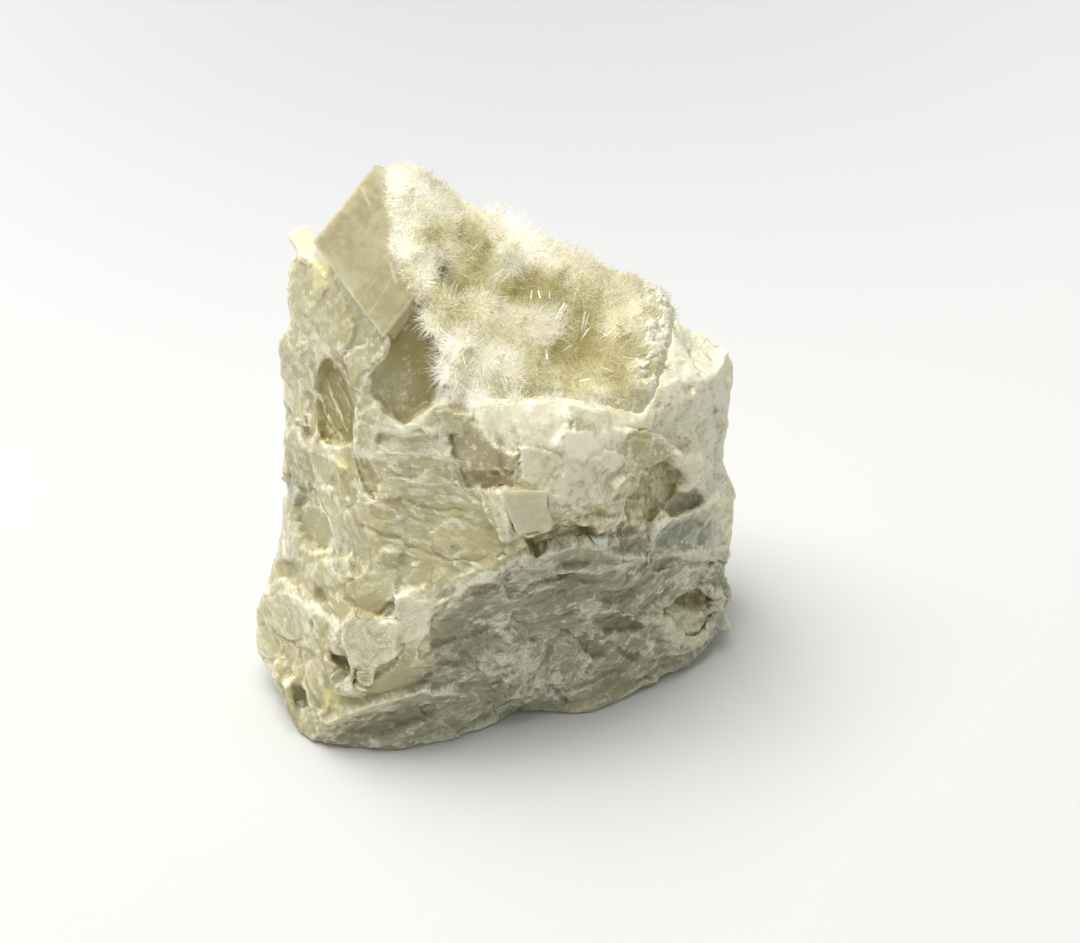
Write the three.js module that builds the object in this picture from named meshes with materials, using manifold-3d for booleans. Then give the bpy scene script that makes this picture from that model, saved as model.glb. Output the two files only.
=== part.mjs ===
// A hand specimen of blocky calcite rock with a bowl that is lined by needles of aragonite.
// Millimetres. X runs to the right, Y to the back and Z up. The specimen stands on Z = 0.
import * as THREE from "three";
import { ConvexHull } from "three/addons/math/ConvexHull.js";
import { ImprovedNoise } from "three/addons/math/ImprovedNoise.js";
import { mergeVertices } from "three/addons/utils/BufferGeometryUtils.js";
import Module from "manifold-3d";

const wasm = await Module();
wasm.setup();
const perlin = new ImprovedNoise();

// ---------------------------------------------------------------- driving dimensions
const HEART = new THREE.Vector3(0, 0, 36); // every face of the rough block is seen from here
const BLOCK_SPLIT = 2; // parts into which each edge between two corners of the block is split
const CRUST_SPLIT = 4;
const CELL = 8; // breadth of one broken facet of the rock
const CELL_TILT = 0.16; // slope of a facet against the face that it breaks
const LUMP = 0.8; // height of the gentle swells
const PLATE_ROOT = 7; // how deep a raised cleavage plate is rooted in the rock
const CUT_REACH = 12; // how far the tool that sinks a plate stands out of the rock
const RHOMB_COUNT = 130; // places on the rock where a cleavage rhomb may stand out
const RHOMB_SIZE = [5, 9];
const RHOMB_PROUD = [0.6, 1.6]; // how far its corner stands out
const SHORTEST = 0.02; // finer detail than this is dropped after the cuts
const SEAT_GAP = 0.3; // free space between the crust and the rock that it lines
const SEAT_DEPTH = 2.9; // depth of the bowl at its rim, which is the thickness of the crust too
const CREST_Y = 9.5; // the bowl ends behind the crest of the rock, where Y passes this line
const CREST_SLOPE = 0.2;
const CRUST_PROUD = 0.5; // how far the crust stands above the rim of the bowl
const TUFT_MOUND = 1.1; // height of a mound of needles grown together
const NEEDLE_RADIUS = 0.42;
const NEEDLE_ROOT = 0.9; // how deep a needle starts in the crust
const NEEDLE_SPREAD = 0.75; // widest angle between a needle and the middle of its spray

// Places on the front are given as seen by someone who stands before the stone and looks down on it:
// millimetres across and up from the middle of the view, on lines that meet at the eye.
const SIGHT_FALL = THREE.MathUtils.degToRad(35);
const SIGHT_LENGTH = 450;
const SIGHT_AIM = new THREE.Vector3(7.3, 0, 31.7);
const ACROSS = new THREE.Vector3(1, 0, 0);
const UP = new THREE.Vector3(0, Math.sin(SIGHT_FALL), Math.cos(SIGHT_FALL));
const TOWARD = new THREE.Vector3(0, -Math.cos(SIGHT_FALL), Math.sin(SIGHT_FALL));
const EYE = SIGHT_AIM.clone().addScaledVector(TOWARD, SIGHT_LENGTH);

// ---------------------------------------------------------------- corners of the rough block
const TOE = [
  [-26.2, -28, 0], [-14, -28.5, 0], [-6.5, -26, 0], [3.5, -21, 0], [15, -19.5, 0],
  [23, -15, 0.5], [31, -9, 1], [35.5, -4, 2],
];
const RIGHT_SIDE = [
  [37, 0, 7], [36, 0, 13], [37, 1, 20], [37.2, 2, 27], [34.8, 3, 33], [36.3, 5, 38],
  [37.2, 8, 44.5], [36, 11, 45.5], [36, 14, 3], [36.5, 15, 22],
];
const SKYLINE = [
  [34.3, 12, 47], [30.4, 13, 49.2], [26.3, 13, 53.5], [24.6, 12, 56.8], [18, 11, 60.5],
  [12.6, 10, 64.8], [7.3, 9, 67.6], [1.4, 8, 70.6], [-3.7, 6, 74.6], [-6.6, 5, 78],
  [-9, 4, 81.6], [-12.9, 2, 83.6], [-16, 1, 83.6],
];
const LEFT_SIDE = [
  [-20.4, 0, 79.5], [-25, 0, 73], [-28.5, 2, 68], [-29.7, 1, 63], [-30.4, 0, 59.2],
  [-32.3, 0, 54.8], [-31.3, -1, 48.3], [-31.1, -3, 43.3], [-31.6, -4, 36.6], [-31.4, -5, 31.8],
  [-32, -6, 25.9], [-33.6, -8, 20.7], [-35.6, -9, 15.7], [-37.2, -10, 12], [-36.6, -11, 7.4],
  [-34.9, -14, 4], [-32.6, -19, 1.8], [-29.4, -25, 0.4],
];
const FRONT_FACE = [
  [-22.4, -27, 20], [-8.9, -27.5, 27.9], [4.4, -24, 34.8], [-16.2, -24, 32.6], [-24, -19, 28.9],
  [-29, -14, 25.2], [-8.8, -20, 40.6], [-19.1, -18, 42.8], [-25.4, -13, 39.3], [-8.7, -17, 51],
  [1.5, -19.5, 47.5], [-18.9, -14, 54.2], [-23.4, -8.5, 59], [-16.5, -12, 65], [-11.6, -11, 68.9],
  [-13.4, -5, 79.5],
];
const BOWL_RIM = [
  [-8.5, -13, 63], [-6.5, -15, 55.7], [-7.1, -10, 68.8], [-9.9, -5, 77.3], [-2.8, -15, 55.7],
  [4.4, -14, 54.2], [13.2, -11, 52.6], [22.2, -8, 46.6], [16.1, -14, 47.2], [29.8, -3, 46.9],
  [31.4, 0, 48.5],
];
const BROW = [
  [10.2, -18, 48.1], [19.1, -14, 41.8], [10.2, -21.5, 41.5], [16.2, -19, 36.3], [25.5, -12, 27.4],
  [31.8, -4, 29.2],
];
const LOWER_FACE = [
  [-6.2, -27, 12.4], [8.8, -21, 15.3], [16.3, -18.5, 21], [25.9, -11.5, 11.3], [32.4, -5.5, 8.3],
  [1.4, -24.5, 25.6], [-20, -29, 9],
];
const BACK = [
  [-33.5, 4, 3], [-30, 14, 1], [-22, 24, 0], [-4, 28, 0], [14, 27.5, 0], [28, 22, 1],
  [-31.5, 6, 24], [-26, 20, 28], [-8, 28.5, 26], [12, 28.5, 22], [30, 21, 24],
  [-29, 9, 48], [-22, 19, 52], [-4, 24, 50], [14, 24, 44], [28, 19, 40],
  [-26, 9, 65], [-19, 13, 71], [-6, 15, 66], [8, 16.5, 58], [22, 17, 50],
];
const UNDERSIDE = [
  [0, 0, -2.5], [-20, 0, -2.5], [18, 2, -2.5], [-8, 14, -2.5], [-12, -16, -2.5], [10, 14, -2.5],
];

// ---------------------------------------------------------------- solids and booleans
function solidOf(geometry) {
  const bare = geometry.index ? geometry.toNonIndexed() : geometry.clone();
  const only = new THREE.BufferGeometry().setAttribute("position", bare.getAttribute("position"));
  const merged = mergeVertices(only, 1e-4);
  return new wasm.Manifold(
    new wasm.Mesh({
      numProp: 3,
      vertProperties: merged.attributes.position.array,
      triVerts: new Uint32Array(merged.index.array),
    }),
  );
}

function geometryOf(solid) {
  const mesh = solid.getMesh();
  return new THREE.BufferGeometry()
    .setAttribute("position", new THREE.BufferAttribute(mesh.vertProperties, 3))
    .setIndex(new THREE.BufferAttribute(mesh.triVerts, 1));
}

// The main body of a solid, without the crumbs and the hair-thin triangles that its cuts left.
function cleaned(solid) {
  const bodies = solid.simplify(SHORTEST).decompose();
  return bodies.sort((a, b) => b.volume() - a.volume())[0];
}

// ---------------------------------------------------------------- relief
// A repeatable number from 0 to 1 for a whole-number place in space.
function chance(i, j = 0, k = 0, salt = 0) {
  const wave = Math.sin(i * 127.1 + j * 311.7 + k * 74.7 + salt * 53.3) * 43758.5453;
  return wave - Math.floor(wave);
}

// Height of the broken facet that p lies on: each cell of the rock has a plane of its own tilt.
function facet(p, breadth, tilt) {
  const q = p.clone().divideScalar(breadth);
  const base = [Math.floor(q.x), Math.floor(q.y), Math.floor(q.z)];
  let nearest = Infinity;
  let height = 0;
  for (let i = -1; i <= 1; i++)
    for (let j = -1; j <= 1; j++)
      for (let k = -1; k <= 1; k++) {
        const c = [base[0] + i, base[1] + j, base[2] + k];
        const seed = new THREE.Vector3(
          c[0] + chance(...c, 1),
          c[1] + chance(...c, 2),
          c[2] + chance(...c, 3),
        );
        const away = q.clone().sub(seed);
        if (away.lengthSq() >= nearest) continue;
        nearest = away.lengthSq();
        const slope = new THREE.Vector3(
          chance(...c, 4) - 0.5,
          chance(...c, 5) - 0.5,
          chance(...c, 6) - 0.5,
        );
        height = breadth * tilt * (2 * slope.dot(away) + 0.5 * (chance(...c, 7) - 0.5));
      }
  return height;
}

function swell(p, breadth) {
  return perlin.noise(p.x / breadth + 5.1, p.y / breadth + 9.7, p.z / breadth + 3.3);
}

const relief = (p) => facet(p, CELL, CELL_TILT) + LUMP * swell(p, 14);

// ---------------------------------------------------------------- the rough block
// The corners, joined into triangles in the order in which they are seen from the heart.
class Cage {
  constructor(corners, heart) {
    this.heart = heart;
    const cornerOf = new Map();
    const directions = corners.map((c) => {
      const corner = new THREE.Vector3(...c);
      const direction = corner.clone().sub(heart).normalize();
      cornerOf.set(direction, corner);
      return direction;
    });
    const hull = new ConvexHull().setFromPoints(directions);
    this.faces = hull.faces.map((face) => {
      const e = face.edge;
      return [e.tail(), e.head(), e.next.head()].map((v) => cornerOf.get(v.point));
    });
  }

  // The point where the block's surface crosses a direction from its heart.
  crossing(direction) {
    const ray = new THREE.Ray(this.heart, direction);
    for (const face of this.faces) {
      const hit = ray.intersectTriangle(...face, false, new THREE.Vector3());
      if (hit) return hit;
    }
    throw new Error("the cage is open towards " + direction.toArray().join(", "));
  }

  // The cage with each face split into small triangles, and each of their corners p moved away from
  // the heart by height(p).
  raised(split, height) {
    const moved = [];
    for (const [a, b, c] of this.faces) {
      const at = (i, j) => {
        const p = a.clone().addScaledVector(b.clone().sub(a), i / split);
        p.addScaledVector(c.clone().sub(a), j / split);
        return p.addScaledVector(p.clone().sub(this.heart).normalize(), height(p));
      };
      for (let i = 0; i < split; i++)
        for (let j = 0; j < split - i; j++) {
          moved.push(at(i, j), at(i + 1, j), at(i, j + 1));
          if (i + j < split - 1) moved.push(at(i + 1, j), at(i + 1, j + 1), at(i, j + 1));
        }
    }
    return solidOf(new THREE.BufferGeometry().setFromPoints(moved));
  }
}

const cage = new Cage(
  [TOE, RIGHT_SIDE, SKYLINE, LEFT_SIDE, FRONT_FACE, BOWL_RIM, BROW, LOWER_FACE, BACK, UNDERSIDE].flat(),
  HEART,
);

// ---------------------------------------------------------------- places on the front
const viewed = (across, up, toward = 0) =>
  new THREE.Vector3()
    .addScaledVector(ACROSS, across)
    .addScaledVector(UP, up)
    .addScaledVector(TOWARD, toward);

const sightLine = (across, up) =>
  new THREE.Ray(EYE, SIGHT_AIM.clone().add(viewed(across, up)).sub(EYE).normalize());

// Where a point of space is seen: millimetres across and up.
function seen(p) {
  const q = p.clone().sub(EYE);
  const scale = SIGHT_LENGTH / -q.dot(TOWARD);
  return new THREE.Vector2(q.dot(ACROSS) * scale, q.dot(UP) * scale);
}

// The point of the rough block that is seen there, or undefined past its outline.
function onFront([across, up]) {
  const ray = sightLine(across, up);
  return cage.faces
    .map(([a, b, c]) => ray.intersectTriangle(a, b, c, false, new THREE.Vector3()))
    .filter(Boolean)
    .sort((p, q) => p.distanceTo(EYE) - q.distanceTo(EYE))[0];
}

// ---------------------------------------------------------------- crystals, plates and hollows
// A box with three free edge vectors, which start at one corner, grown by a margin on each side.
function parallelepiped(corner, edges, margin = 0) {
  const start = corner.clone();
  const [e1, e2, e3] = edges.map((edge) => {
    const step = edge.clone().setLength(margin);
    start.sub(step);
    return edge.clone().addScaledVector(step, 2);
  });
  const rightHanded = new THREE.Vector3().crossVectors(e1, e2).dot(e3) > 0;
  const [a, b] = rightHanded ? [e1, e2] : [e2, e1];
  return new THREE.BoxGeometry(1, 1, 1)
    .translate(0.5, 0.5, 0.5)
    .applyMatrix4(new THREE.Matrix4().makeBasis(a, b, e3).setPosition(start));
}

// A crystal at the outline: where its corner is seen, the Y of that corner, and its edges as seen.
function crystal({ at: [across, up], y, edges }, margin = 0) {
  const ray = sightLine(across, up);
  const corner = ray.at((y - EYE.y) / ray.direction.y, new THREE.Vector3());
  return solidOf(parallelepiped(corner, edges.map((e) => viewed(...e)), margin));
}

// A prism along the sight lines with a seen outline. Its two caps are parallel to the plane that
// fits the rough block under the outline: near(a, u) and far(a, u) are their heights over it.
function prism(outline, near, far) {
  const corners = outline.map(onFront).filter(Boolean);
  const middle = corners.reduce((sum, c) => sum.add(c), new THREE.Vector3());
  middle.divideScalar(corners.length);
  const normal = new THREE.Vector3();
  corners.forEach((c, i) => {
    const next = corners[(i + 1) % corners.length];
    normal.add(c.clone().sub(middle).cross(next.clone().sub(middle)));
  });
  const plane = new THREE.Plane().setFromNormalAndCoplanarPoint(normal.normalize(), middle);
  const centre = seen(middle);
  const shape = new THREE.Shape(outline.map(([a, u]) => new THREE.Vector2(a, u)));
  const geometry = new THREE.ExtrudeGeometry(shape, { depth: 1, bevelEnabled: false });
  const position = geometry.getAttribute("position");
  for (let i = 0; i < position.count; i++) {
    const [a, u] = [position.getX(i), position.getY(i)];
    const ray = sightLine(a, u);
    const point = ray.intersectPlane(plane, new THREE.Vector3());
    const height = position.getZ(i) > 0.5 ? near : far;
    point.addScaledVector(ray.direction, -height(a - centre.x, u - centre.y));
    position.setXYZ(i, point.x, point.y, point.z);
  }
  return solidOf(geometry);
}

// A cleavage plate that stands out by `proud` at its middle, and slopes by `lean` across and up.
const raisedPlate = ({ outline, proud, lean }) =>
  prism(outline, (a, u) => proud + lean[0] * a + lean[1] * u, () => -PLATE_ROOT);

// The room over a plate that lies `sunk` deep at its middle.
const sunkenPlate = ({ outline, sunk, lean }) =>
  prism(outline, () => CUT_REACH, (a, u) => -sunk + lean[0] * a + lean[1] * u);

const CRYSTALS = [
  // the large clear rhomb at the top left
  { at: [-35.2, 35.4], y: -5.7, edges: [[9.1, 11.5, 0], [10.2, -14, 0.4], [4, 0, -11]] },
  // clear crystals at the bottom left
  { at: [-38.6, -36.4], y: -24.1, edges: [[3.4, 1.6, 0], [-1.2, 4, 0.2], [0, 0, -6]] },
  { at: [-40.8, -32.4], y: -19.8, edges: [[3.6, 1.2, 0], [-0.6, 3.6, 0], [0, 0, -6]] },
  // the thorn at the right
  { at: [27, -24.6], y: -3.9, edges: [[3.2, 0.4, 0], [-1.6, 2.2, 0], [-1.6, 0, -3]] },
  // the pale yellow flake that sticks out at the left
  { at: [-34.6, 27.8], y: -2.3, edges: [[-4.8, 8.6, -3], [3, 1.6, -1.5], [0.4, 0, -1.6]] },
];

const RAISED = [
  // the face left of the large rhomb, and the step under the rhomb with its tip down
  { proud: 0.5, lean: [0, 0],
    outline: [[-36.9, 33.8], [-32.9, 30.1], [-29.8, 25.5], [-28.9, 21.8], [-34.2, 19.6], [-38, 22.5],
      [-38.8, 26.4]] },
  { proud: 1.1, lean: [0.05, -0.05],
    outline: [[-34.2, 22.7], [-25.8, 21.6], [-22.8, 20.1], [-23.7, 17.5], [-25.8, 15.3], [-28, 12.7],
      [-29.4, 13.2], [-30.8, 16.2], [-33.5, 18.4]] },
  // white border below the olive recess
  { proud: 0.8, lean: [0, 0],
    outline: [[-28, 8.8], [-25.2, 10.4], [-21.5, 6.7], [-16.6, 10.1], [-14.3, 10.7], [-12.3, 7.3],
      [-14.5, 6.1], [-20.8, 5.2], [-26.5, 6.4]] },
  // plates down the left side
  { proud: 0.8, lean: [0, 0],
    outline: [[-39.1, 6.4], [-36.9, 7.3], [-36.5, 3.3], [-35.1, -2.8], [-36.9, -2.2], [-38.8, 1]] },
  // brown cleavage blocks beside the crack
  { proud: 0.5, lean: [0, 0], outline: [[-10, 6.4], [-6.5, 5.9], [-5.2, 3.3], [-9.2, 3.6]] },
  { proud: 0.9, lean: [0, 0.1],
    outline: [[-9.5, 3.3], [-4, 3.6], [-2.9, -0.8], [-6.2, 0.2], [-10.2, 0.8]] },
  // the small square rhomb that stands out over the slot, and the plate beside it
  { proud: 3.2, lean: [0, 0],
    outline: [[-5.7, -2.8], [1.2, -3], [1.1, -5.2], [1.8, -7.6], [1.4, -8.7], [-3.4, -9.8], [-4.8, -6.7]] },
  { proud: 0.8, lean: [0, 0],
    outline: [[-9.2, -2.4], [-5.7, -2.8], [-4.8, -6.7], [-3.5, -10.1], [-6.2, -10.7], [-8.6, -6.7]] },
  // white blocks under the rim of the hollow
  { proud: 1.0, lean: [0, 0],
    outline: [[-9.5, 11.3], [-3.8, 10.7], [-3.1, 6.4], [-3.4, 3.6], [-6.2, 5.8], [-8, 8.2]] },
  { proud: 1.8, lean: [0, 0.08],
    outline: [[-5.4, 10.7], [3.1, 11], [4, 7.2], [1.8, 3.6], [-2.8, 3.3], [-3.4, 6.4]] },
  { proud: 2.3, lean: [0, 0.05],
    outline: [[3.1, 10.7], [10.2, 9.5], [11.1, 4.8], [9.2, 1.5], [4.3, 2.4], [1.8, 3.9], [4, 7.2]] },
  { proud: 1.8, lean: [-0.1, 0],
    outline: [[9.2, 7.2], [13.5, 6.1], [14.8, 2.5], [12.6, 0.2], [10.5, -0.7], [9.2, 1.5], [11.1, 4.8]] },
  { proud: 1.3, lean: [0, 0],
    outline: [[-2.8, 3], [1.8, 3.3], [4.3, 2.1], [6.2, -1], [2.5, -1.6], [0.8, 0.2], [-2.5, -0.7]] },
  { proud: 2.0, lean: [0, 0], outline: [[4.3, 2.4], [9.2, 1.5], [10.8, -0.4], [9.2, -1.3], [6.2, -1]] },
  { proud: 1.9, lean: [0, 0.1],
    outline: [[9.2, -1.3], [15.4, -1], [13.2, -3.5], [12, -6.5], [9.7, -5.9], [7.7, -4.4]] },
  { proud: 0.8, lean: [0, 0], outline: [[0.8, -1.6], [9.2, -1.6], [8, -4.4], [4.9, -6.2], [1.5, -5.2]] },
  { proud: 1.6, lean: [0, 0],
    outline: [[13.5, 5.5], [19.7, 4.8], [21.5, 2.4], [18.5, 1.8], [16.3, 0.2], [14.8, -1.6], [13.1, 0.5]] },
  // the pale vein at the right and the plates below it
  { proud: 1.1, lean: [0, 0],
    outline: [[16.9, -10.5], [17.7, -8.7], [19.7, -7.3], [23.1, -6.1], [26.3, -5], [27.4, -3.2],
      [28, -5], [24.6, -6.8], [20.8, -8.2], [18.8, -9.6], [17.8, -11.5]] },
  { proud: 0.4, lean: [0, 0], outline: [[19.1, -8.7], [24.3, -7], [24.6, -11.5], [19.4, -11.8]] },
  { proud: 0.9, lean: [0, 0],
    outline: [[24.8, -7], [28, -6.2], [28.9, -7.5], [28.8, -11.3], [24.9, -11.5]] },
  // ledges across the shaded face
  { proud: 1.3, lean: [0, -0.1],
    outline: [[3.1, -13], [9.2, -12.4], [15.4, -12.1], [16.6, -13.3], [12.3, -14.5], [7.7, -15.5],
      [3.1, -15.5]] },
  { proud: 1.0, lean: [0, 0],
    outline: [[22.5, -12.1], [28.8, -11.5], [28.3, -13.9], [24.6, -14.5], [22.5, -13.9]] },
  { proud: 0.7, lean: [0, 0],
    outline: [[17.7, -15.5], [24.6, -14.5], [26.8, -15.2], [23.1, -18.2], [18.5, -19.8], [16.9, -17.9]] },
  { proud: 0.9, lean: [0, 0], outline: [[9.2, -21], [15.4, -20.7], [17.8, -22.7], [12.3, -22.4]] },
  { proud: 0.9, lean: [0, 0],
    outline: [[14.8, -25.9], [19.2, -26.7], [23.1, -25.9], [24.6, -27.5], [20, -28.7], [15.4, -28.7]] },
  { proud: 0.5, lean: [0, 0],
    outline: [[-6.2, -19.8], [0, -16.7], [3.1, -18.2], [0.8, -22.1], [-4.6, -22.5]] },
  { proud: 0.5, lean: [0, 0],
    outline: [[-15.4, -20.5], [-10.8, -18.2], [-6.2, -18.5], [-6.5, -21.3], [-12.3, -23.6],
      [-15.4, -24.4]] },
  { proud: 0.8, lean: [0, 0],
    outline: [[-7.7, -25.9], [0.8, -26.7], [1.5, -33.3], [-6.2, -35.2], [-9.2, -30.5]] },
  { proud: 0.6, lean: [0, 0],
    outline: [[3.1, -25.2], [6.2, -25.9], [7.7, -29], [4.6, -33.3], [1.8, -32.1]] },
  // the long pale ledge at the foot
  { proud: 1.5, lean: [0, 0.1],
    outline: [[-33.5, -39.9], [-34.2, -37], [-30.8, -35.6], [-25.8, -35.2], [-16.9, -33.3],
      [-16.6, -34.5], [-21.5, -35.8], [-25.8, -37.2], [-29.2, -38.5], [-31.5, -39.6]] },
  // the pointed block low on the left, with its tip down, and the scale below it
  { proud: 1.7, lean: [0, 0],
    outline: [[-30.3, -23.2], [-28.9, -21.3], [-25.8, -21.6], [-22.2, -23.2], [-21.5, -26.7],
      [-23.8, -28.2], [-26.6, -30.2], [-28.5, -28.4], [-30.3, -26.2]] },
  { proud: 0.9, lean: [0, 0], outline: [[-27.7, -30.8], [-23.7, -29.6], [-26.6, -32.2]] },
  // the swollen left flank
  { proud: 0.9, lean: [0, 0],
    outline: [[-42.8, -18.8], [-36.9, -17.5], [-32.9, -23.2], [-34.2, -25.9], [-36.9, -24.1],
      [-42.2, -21.6]] },
  // scales on the pale front
  { proud: 0.9, lean: [0, 0],
    outline: [[-21.5, -18.5], [-17.8, -17.6], [-15.8, -20.1], [-16.9, -22.8], [-20.8, -23.6]] },
  { proud: 0.9, lean: [0, 0],
    outline: [[-12.9, -16.2], [-9.5, -14.8], [-5.7, -14.8], [-7.7, -16.5], [-10.5, -17.9]] },
  { proud: 0.7, lean: [0, 0], outline: [[-24.6, -11.8], [-21.2, -12.4], [-22.2, -14.5], [-25.2, -13.6]] },
  { proud: 0.8, lean: [0, 0],
    outline: [[-34.2, -13.6], [-29.5, -13], [-28.9, -16.7], [-32.9, -18.2], [-35.1, -16.1]] },
];

const SUNKEN = [
  // the smooth olive recess between the large rhomb and the crust: deep on the right
  { sunk: 2.3, lean: [-0.25, 0],
    outline: [[-20.3, 25.8], [-17.8, 25.5], [-16.8, 21.8], [-15.7, 18.7], [-15.2, 14.8], [-16.5, 10.7],
      [-19.2, 9.2], [-21.2, 7], [-22.5, 7.9], [-24, 9.8], [-26, 11.5], [-25.7, 15.3], [-23.4, 17.5],
      [-22.8, 20.2]] },
  // the tall yellow vug at the left, and its shallow neighbour
  { sunk: 3.2, lean: [-0.45, 0],
    outline: [[-33.5, 17.5], [-31.4, 16.8], [-29.8, 13.3], [-28.5, 9.2], [-28.6, 4.5], [-30.8, 3.9],
      [-33.5, 4.8], [-34.5, 8.7], [-34.5, 13.3]] },
  { sunk: 1.6, lean: [0, 0],
    outline: [[-36.9, 12.2], [-35.2, 12.2], [-34.6, 8.7], [-34.9, 4.8], [-36.5, 4.5], [-36.9, 8.7]] },
  // sunk plates of the left side
  { sunk: 0.9, lean: [0, 0],
    outline: [[-36.2, 3.3], [-32.6, 2.5], [-31.1, 0.2], [-31.4, -2.5], [-34.2, -2.5], [-35.7, 0.2]] },
  { sunk: 0.9, lean: [0, 0],
    outline: [[-38.8, 0.5], [-36.9, -1.9], [-35.7, -4.1], [-36.9, -6.2], [-38.8, -5.2], [-39.4, -1.9]] },
  // cracks of the pale front
  { sunk: 1.3, lean: [0, 0],
    outline: [[-28.2, 2.2], [-27.1, 2.1], [-24.9, -1.6], [-25.1, -4.4], [-26.5, -4.4], [-27.7, -1.3]] },
  { sunk: 1.1, lean: [0, 0],
    outline: [[-14.3, 6.4], [-13.7, 6.4], [-10.8, -1], [-8.9, -4.4], [-9.8, -4.4], [-12, -1.3]] },
  // brown cleavage blocks beside the crack
  { sunk: 0.5, lean: [0, 0], outline: [[-13.5, 5.5], [-10, 6.4], [-9.5, 3.9], [-10.5, 1], [-12.3, 1.5]] },
  { sunk: 1.0, lean: [0, 0],
    outline: [[-12, 0.5], [-4.3, -0.1], [-4.2, -2.2], [-6.5, -2.5], [-8.9, -1.6], [-11.1, -2.4]] },
  // the dark slot under the small rhomb
  { sunk: 3.6, lean: [0, 0.2],
    outline: [[-3.4, -10.1], [1.4, -8.8], [2.5, -7.3], [5.8, -7.6], [9.2, -8.8], [8.9, -10.7],
      [3.1, -11.3], [-1.1, -12.2]] },
  { sunk: 1.5, lean: [0, 0], outline: [[9.5, -8.1], [15.4, -7.3], [15.7, -9.2], [9.8, -10.7]] },
  // the cave at the right
  { sunk: 4.6, lean: [0.15, -0.2],
    outline: [[13.4, -3.2], [16.6, 0.2], [18.8, 1.8], [21.5, 1.8], [23.1, -0.5], [19.7, -4.4],
      [16.9, -8.1], [14.2, -7.5], [12.3, -6.5]] },
  { sunk: 2.2, lean: [0, 0],
    outline: [[19.1, -3.2], [24, -2.5], [25.5, -4.7], [23.1, -6.1], [19.4, -6.8]] },
  // steps and the pocket of the shaded face
  { sunk: 0.9, lean: [0, 0], outline: [[16.9, -12.7], [22.3, -12.2], [22.3, -13.5], [17.7, -15.2]] },
  { sunk: 1.0, lean: [0, 0],
    outline: [[8, -18.5], [15.4, -17.5], [16.9, -18.1], [13.8, -19.5], [10.8, -20.4], [8.6, -20.1]] },
  { sunk: 3.0, lean: [0, -0.3],
    outline: [[18.2, -20.7], [20.3, -19.5], [24.9, -17.9], [26.9, -18.5], [27.1, -21.3], [25.5, -24.1],
      [23.8, -25.9], [21.2, -25.9], [19.7, -23.2], [18.2, -22.5]] },
  { sunk: 1.3, lean: [0, 0],
    outline: [[9.2, -23.8], [12.3, -22.5], [16.9, -23.3], [15.4, -24.7], [10.2, -25]] },
  { sunk: 1.0, lean: [0, 0], outline: [[6, -26.1], [10.8, -25.9], [10.2, -29], [8, -28.8]] },
  { sunk: 0.8, lean: [0, 0], outline: [[-16.9, -25.9], [-12.3, -25.6], [-10.8, -29], [-15.4, -30.5]] },
  { sunk: 0.7, lean: [0, 0],
    outline: [[-30, -40.2], [-25.8, -37.8], [-16.9, -35.3], [-15.4, -37], [-24.6, -41]] },
  // pockets low on the left
  { sunk: 1.8, lean: [0, 0],
    outline: [[-30, -20.4], [-26.9, -19.5], [-24, -20.7], [-22.2, -22.7], [-25.8, -21.3], [-28.9, -21]] },
  { sunk: 1.9, lean: [-0.2, 0],
    outline: [[-32.6, -27.8], [-30, -28.2], [-27.4, -30.4], [-27.7, -32.7], [-30, -32.1], [-32.3, -29.3]] },
  { sunk: 1.7, lean: [-0.25, 0],
    outline: [[-36.5, -5.6], [-34.5, -6.4], [-32.6, -9], [-31.8, -11], [-32.6, -12.2], [-35.1, -12.4],
      [-36.9, -11.3], [-37.5, -8.2]] },
  { sunk: 1.6, lean: [0, 0],
    outline: [[-41.2, -14.1], [-38.2, -13.6], [-36.9, -16.1], [-38.8, -17], [-40.5, -15.9]] },
  { sunk: 1.3, lean: [0, 0], outline: [[-35.1, -17.6], [-33.1, -18.2], [-32.6, -20.4], [-34.5, -20.1]] },
  { sunk: 0.9, lean: [0, 0], outline: [[-41.2, -26.2], [-35.4, -27.2], [-33.8, -29], [-39.2, -30.1]] },
  { sunk: 1.4, lean: [0, 0],
    outline: [[-38.3, -33], [-36.3, -33.6], [-35.7, -35.5], [-36.5, -36.4], [-38, -35.2]] },
];
// a small yellow crystal that grew on the floor of the cave
const CAVE_CRYSTAL = {
  proud: -2.4,
  lean: [0, 0],
  outline: [[12.9, -6.1], [15.1, -5.5], [15.8, -6.7], [14.5, -7.6]],
};

// ---------------------------------------------------------------- the bowl
// The rim, as seen, and the deeper pockets in the bowl: across, up, depth and breadth.
const RIM = [
  [-23.7, 44.5], [-21.5, 49.5], [-16, 49.5], [-12, 46], [-8, 43.4], [-3.5, 41.2],
  [2, 39.8], [5.5, 37.2], [9.5, 34.8], [13.5, 32.6], [18, 29.2], [20.6, 25], [19.7, 19.9],
  [18.5, 15.6], [17.2, 11.8], [15.4, 8.8], [10.8, 10.2], [5.4, 11], [0, 11.5], [-6.2, 11.3],
  [-10, 12.2], [-12.9, 14.1], [-14.5, 15.9], [-15.7, 19.5], [-16.8, 22.7], [-17.7, 25.6],
  [-19.8, 27.9], [-21.7, 31.8], [-22.8, 34.8], [-22.5, 39.2],
];
const POCKETS = [
  [4, 20, 5.2, 5], [8.5, 18.5, 3.6, 3.6], [-11, 31.6, 2.6, 4.4], [-4, 28.5, 2.4, 4], [6.5, 26, 2, 4],
];
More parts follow.
